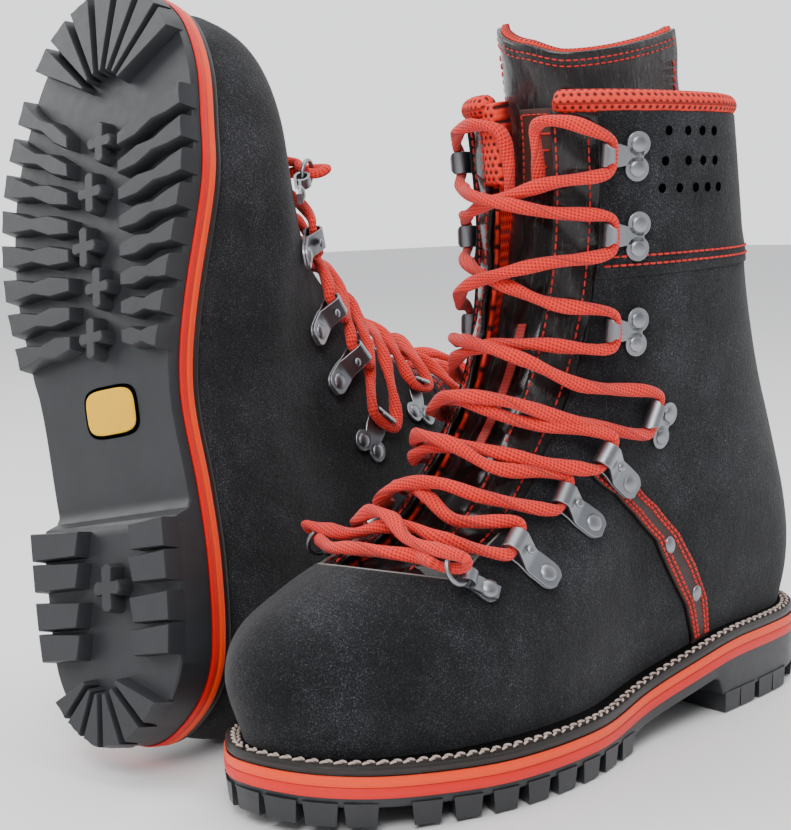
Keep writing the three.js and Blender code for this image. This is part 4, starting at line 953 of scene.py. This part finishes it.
def lace():
    bar = [surface(BAR_RING - 0.0004 * (t - 4) ** 2, t, 2.6) for t in (-26, -12, 2, 16, 28)]
    route = lace_half(-1, 3.9)[::-1] + through_ring(-1)[::-1] + bar + through_ring(1) + lace_half(1, 9.2)
    path = centripetal(route, 9)
    tight = []
    for side in (1, -1):
        tight.append(put(ring_hinge(side), [[-6, 0, 0]])[0])
        for level, fitting in enumerate(LEVELS[1:]):
            matrix = fitting_frame(fitting, side, strap_lift(side, level))
            tight.append(put(matrix, [[-fitting["reach"], 0, CHANNEL_OUT]])[0])
    run = np.r_[0, np.cumsum(np.linalg.norm(np.diff(path, axis=0), axis=1))]
    near = np.min(np.linalg.norm(path[:, None] - np.array(tight)[None], axis=2), axis=1)
    loose = smooth(near, 5, 13)
    swell = 0.5 - 0.5 * np.cos(2 * np.pi * run / 27)
    radius = 2.35 + loose * (0.35 + 0.45 * swell)
    sway = np.stack([np.sin(run / 11), np.sin(run / 13 + 1), np.sin(run / 17 + 2)], -1)
    wander = loose[:, None] * 0.2 * sway
    return Shape().add(*sweep(path + wander, radius, 16, 0.74, ups=twisted(path, run / 27 * np.pi)))


make("lace", lace(), "lace_braid", ["lace"])


# ---- Sole ----
def drawn_in(u, m, inset):
    middle_u = (SOLE_FRONT + SOLE_BACK) / 2
    middle_m = (edge(OUTER_CURVE, u) + edge(INNER_CURVE, u)) / 2
    return (middle_u + (u - middle_u) * (1 - inset / (SOLE_FRONT - middle_u)),
            middle_m + (m - middle_m) * (1 - inset / BALL_HALF_WIDTH))


def outline_loop(inset, steps=260):
    angle = 2 * np.pi * (np.arange(steps) + 0.5) / steps
    u = SOLE_BACK + (SOLE_FRONT - SOLE_BACK) * (0.5 + 0.5 * np.cos(angle))
    m = np.where(angle < np.pi, edge(OUTER_CURVE, u), edge(INNER_CURVE, u))
    return drawn_in(u, m, inset)


def sole_ring(profile, steps=260):
    """Closed solid in the sole's outline: profile lists (inset, height function) from bottom to top."""
    rows = []
    for inset, height in profile:
        u, m = outline_loop(inset, steps)
        rows.append(np.stack([-m, -u, height(u)], -1))
    count = len(rows)
    faces = grid_faces(count, steps, 0, True, True)
    half = steps // 2
    for start, flip in ((0, True), ((count - 1) * steps, False)):
        for j in range(half - 1):
            quad = [start + j, start + j + 1, start + steps - 2 - j, start + steps - 1 - j]
            faces.append(quad[::-1] if flip else quad)
    return Shape().add(np.vstack(rows), faces)


def layer_profile(bottom, thick, inset, round_by=0.5):
    return [(inset + round_by, bottom), (inset, lambda u: bottom(u) + round_by),
            (inset, lambda u: bottom(u) + thick - round_by), (inset + round_by, lambda u: bottom(u) + thick)]


make("midsole_lower", sole_ring(layer_profile(midsole_bottom, 3.95, 0.1)), "red_foam", ["midsole_lower"])
make("midsole_upper", sole_ring(layer_profile(lambda u: midsole_bottom(u) + MIDSOLE_LAYER, 3.95, 0.2)),
     "orange_foam", ["midsole_upper"])
make("welt", sole_ring(layer_profile(lambda u: midsole_bottom(u) + 2 * MIDSOLE_LAYER, 3.7, 0.8, 0.9)),
     "welt_leather", ["welt"])
thread = Shape()
for inset, slant in ((3.6, 0.45), (5.6, -0.45)):
    u, m = outline_loop(inset, 420)
    line = np.stack([-m, -u, welt_top(u) - 0.2], -1)
    line = np.vstack([line, line[:1]])
    stitches(thread, line, np.tile([0, 0, 1.0], (len(line), 1)), 4.9, 3.5, 0.62, slant)
make("welt_stitching", thread, "cream_thread")


def arch_bottom(u):
    return midsole_bottom(u) - ARCH_THICKNESS


def tread_bottom(u):
    step = smooth(u, ARCH_BACK - 3, ARCH_BACK + 3) * (1 - smooth(u, ARCH_FRONT - 6, ARCH_FRONT + 4))
    floor = spring_at(u) + LUG_DEPTH
    return floor + (arch_bottom(u) - floor) * step


def lug(shape, outline, inset=0.9, depth=LUG_DEPTH):
    """A tapered block: full outline at the sole, drawn in a little at the ground, with a softened rim."""
    p = np.array(outline, float)
    area = np.sum(p[:, 0] * np.roll(p[:, 1], -1) - np.roll(p[:, 0], -1) * p[:, 1])
    if area < 0:
        p = p[::-1]
    before, after = unit(p - np.roll(p, 1, 0)), unit(np.roll(p, -1, 0) - p)
    inward = unit(np.stack([-(before + after)[:, 1], (before + after)[:, 0]], -1))
    rows = []
    for share, draw in ((1.25, -0.5), (1.0, -0.2), (0.1, inset - 0.35), (0.0, inset + 0.2)):
        q = p + inward * draw
        rows.append(np.stack([-q[:, 1], -q[:, 0], spring_at(q[:, 0]) + depth * share], -1))
    n = len(p)
    caps = [list(range(n)), list(range(3 * n, 4 * n))[::-1]]
    shape.add(np.vstack(rows), grid_faces(4, n, 0, True, True) + caps)


def side_lug(shape, side, u, inner_u, width, inner_m):
    curve = OUTER_CURVE if side < 0 else INNER_CURVE
    half = width / 2
    outer = [float(edge(curve, u + d)) - side * 0.9 for d in (-half, 0, half)]
    lerp = lambda t: (u + (inner_u - u) * t, outer[1] + (side * inner_m - outer[1]) * t)
    waist, inner = lerp(0.45), lerp(1.0)
    lug(shape, [[u - half, outer[0]], [u, outer[1]], [u + half, outer[2]],
                [lerp(0.22)[0] + half * 0.95, lerp(0.22)[1]],
                [waist[0] + half * 0.62, waist[1]], [lerp(0.7)[0] + half * 0.95, lerp(0.7)[1]],
                [inner[0] + half * 0.6, inner[1]], [inner[0] - half * 0.6, inner[1]],
                [lerp(0.7)[0] - half * 0.95, lerp(0.7)[1]], [waist[0] - half * 0.62, waist[1]],
                [lerp(0.22)[0] - half * 0.95, lerp(0.22)[1]]])


def cross_lug(shape, u, m, long, wide, arm):
    outline = []
    for du, dm, tip in ((1, 0, long), (0, 1, wide), (-1, 0, long), (0, -1, wide)):
        for a in (-0.9, -0.35, 0.35, 0.9):
            reach = tip - arm * 0.45 * (abs(a) > 0.5)
            outline.append([u + du * reach - dm * a * arm, m + dm * reach + du * a * arm])
        outline.append([u + (du - dm) * arm * 0.8, m + (dm + du) * arm * 0.8])
    lug(shape, outline, 0.6)


def radial_lugs(shape, centre_u, direction, start, end, count, inner_radius):
    wedge = (end - start) / count
    for i in range(count):
        def corner(angle, radius):
            a = math.radians(angle)
            return (centre_u + direction * radius * math.cos(a),
                    TOE_SHIFT / 2 * direction + radius * math.sin(a))

        def reach(angle):
            radius = inner_radius
            while radius < 120:
                u, m = corner(angle, radius + 0.5)
                if not (SOLE_BACK + 0.9 < u < SOLE_FRONT - 0.9
                        and edge(OUTER_CURVE, u) + 0.9 < m < edge(INNER_CURVE, u) - 0.9):
                    break
                radius += 0.5
            return radius
        a0, a1 = start + i * wedge + 1.6, start + (i + 1) * wedge - 1.6
        spread = np.linspace(a0, a1, 5)
        lug(shape, [corner(a0 + 2, inner_radius), *[corner(a, reach(a)) for a in spread],
                    corner(a1 - 2, inner_radius)])


def outsole():
    shape = sole_ring([(2.0, lambda u: tread_bottom(u) + 0.1), (1.2, lambda u: tread_bottom(u) + 1.0),
                       (0.9, lambda u: midsole_bottom(u) - 0.05)], 300)
    for i in range(8):
        side_lug(shape, -1, 122 + 15.2 * i, 124 + 12 * i, 10.4, 15)
        side_lug(shape, 1, 119 + 13.5 * i, 122 + 11.5 * i, 9.6, 13)
    for u, m in ((124, -4), (144, 0), (162, -7), (184, -3), (204, 3)):
        cross_lug(shape, u, m, 8.6, 7, 3.1)
    radial_lugs(shape, 222, 1, -62, 62, 7, 12)
    for u in (37, 9):
        for side, inner in ((-1, 13), (1, 14)):
            for half in (-1, 1):
                curve = OUTER_CURVE if side < 0 else INNER_CURVE
                u0, u1 = (u + 0.5, u + 12) if half > 0 else (u - 12, u - 0.5)
                lug(shape, [[u0, float(edge(curve, u0)) - side * 0.9],
                            [u1, float(edge(curve, u1)) - side * 0.9],
                            [u1 - 1.5, side * inner], [u0, side * (inner + 2)]], 0.5)
    cross_lug(shape, HEEL_LUG[0], HEEL_LUG[1], 9.6, 7.4, 3.5)
    radial_lugs(shape, -6, -1, -66, 66, 6, 10)
    return shape


make("outsole", outsole(), "rubber", ["outsole"], bevel=0.35)


def inlay(radius_u, radius_m, low, high):
    angle = np.linspace(0, 2 * np.pi, 56, endpoint=False)
    squeeze = (np.abs(np.cos(angle)) ** 4 + np.abs(np.sin(angle)) ** 4) ** -0.25
    rows = []
    for scale, z in ((1, high), (1, low + 0.3), (0.95, low), (0.9, low)):
        u = BADGE_CENTRE[0] + radius_u * scale * squeeze * np.cos(angle)
        m = BADGE_CENTRE[1] + radius_m * scale * squeeze * np.sin(angle)
        rows.append(np.stack([-m, -u, arch_bottom(u) + z], -1))
    caps = [list(range(56)), list(range(168, 224))[::-1]]
    return Shape().add(np.vstack(rows), grid_faces(4, 56, 0, True, True) + caps)


# Painted shade: a near-black, non-reflective ring round the sole badge stands in for the shade at the badge's
# edge.
make("badge_shadow_ring", inlay(10.4, 14.8, -0.5, 1.0), "dark")
make("sole_badge", inlay(9.0, 13.4, -1.0, 1.0), "badge", ["sole_badge"])

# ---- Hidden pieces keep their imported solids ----
for node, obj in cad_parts.items():
    piece = node.split("_", 1)[1]
    look = {"insole_board": "board", "shank": "steel", "footbed": "footbed_fabric", "toe_cap": "steel",
            "heel_counter": "board"}.get(piece)
    if look:
        obj.data.materials.clear()
        obj.data.materials.append(LOOKS[look])

# ---- Stage ----
floor_mesh = bpy.data.meshes.new("floor")
floor_mesh.from_pydata([(-6, -6, -0.0006), (6, -6, -0.0006), (6, 6, -0.0006), (-6, 6, -0.0006)], [],
                       [(0, 1, 2, 3)])
floor = bpy.data.objects.new("floor", floor_mesh)
bpy.context.scene.collection.objects.link(floor)
floor_look = bpy.data.materials.new("floor")
floor_look.use_nodes = True
floor_look.node_tree.nodes["Principled BSDF"].inputs["Base Color"].default_value = (0.93, 0.93, 0.93, 1)
floor_look.node_tree.nodes["Principled BSDF"].inputs["Roughness"].default_value = 0.9
floor_mesh.materials.append(floor_look)

world = bpy.data.worlds.new("studio")
world.use_nodes = True
background = world.node_tree.nodes["Background"]
background.inputs["Color"].default_value = (0.96, 0.97, 1.0, 1)
place = world.node_tree.nodes.new("ShaderNodeTexCoord")
facing_back = world.node_tree.nodes.new("ShaderNodeVectorMath")
facing_back.operation = "DOT_PRODUCT"
facing_back.inputs[1].default_value = (-0.73, 0.68, 0.0)
brightness = world.node_tree.nodes.new("ShaderNodeMapRange")
brightness.inputs["From Min"].default_value = -0.3
brightness.inputs["From Max"].default_value = 0.75
brightness.inputs["To Min"].default_value = 0.42
brightness.inputs["To Max"].default_value = 1.7
world.node_tree.links.new(place.outputs["Generated"], facing_back.inputs[0])
world.node_tree.links.new(facing_back.outputs["Value"], brightness.inputs["Value"])
world.node_tree.links.new(brightness.outputs["Result"], background.inputs["Strength"])
bpy.context.scene.world = world


def area_light(name, place, target, size, power):
    data = bpy.data.lights.new(name, "AREA")
    data.size, data.energy = size, power
    obj = bpy.data.objects.new(name, data)
    obj.location = place
    obj.rotation_mode = "QUATERNION"
    obj.rotation_quaternion = (Vector(target) - Vector(place)).to_track_quat("-Z", "Y")
    bpy.context.scene.collection.objects.link(obj)


area_light("key", (0.9, -1.3, 1.5), (-0.05, -0.1, 0.12), 0.9, 30)
area_light("left", (-1.3, -1.0, 0.9), (-0.05, -0.1, 0.12), 0.9, 12)
area_light("top", (0.0, 0.2, 1.9), (-0.05, -0.1, 0.12), 1.4, 16)

# ---- Camera ----
AZIMUTH, ELEVATION, ROLL, DISTANCE = 47.05, 7.01, -1.45, 0.778
TARGET = Vector((-0.1051, -0.0737, 0.1214))
a, e, r = (math.radians(x) for x in (AZIMUTH, ELEVATION, ROLL))
back = Vector((math.sin(a) * math.cos(e), -math.cos(a) * math.cos(e), math.sin(e)))
right = Vector((math.cos(a), math.sin(a), 0))
up = back.cross(right)
turned_right = right * math.cos(r) + up * math.sin(r)
turned_up = up * math.cos(r) - right * math.sin(r)
camera_data = bpy.data.cameras.new("camera")
camera_data.lens, camera_data.sensor_width = 73.46, 36
camera = bpy.data.objects.new("camera", camera_data)
camera.matrix_world = Matrix((turned_right, turned_up, back)).transposed().to_4x4()
camera.location = TARGET + back * DISTANCE
bpy.context.scene.collection.objects.link(camera)
bpy.context.scene.camera = camera
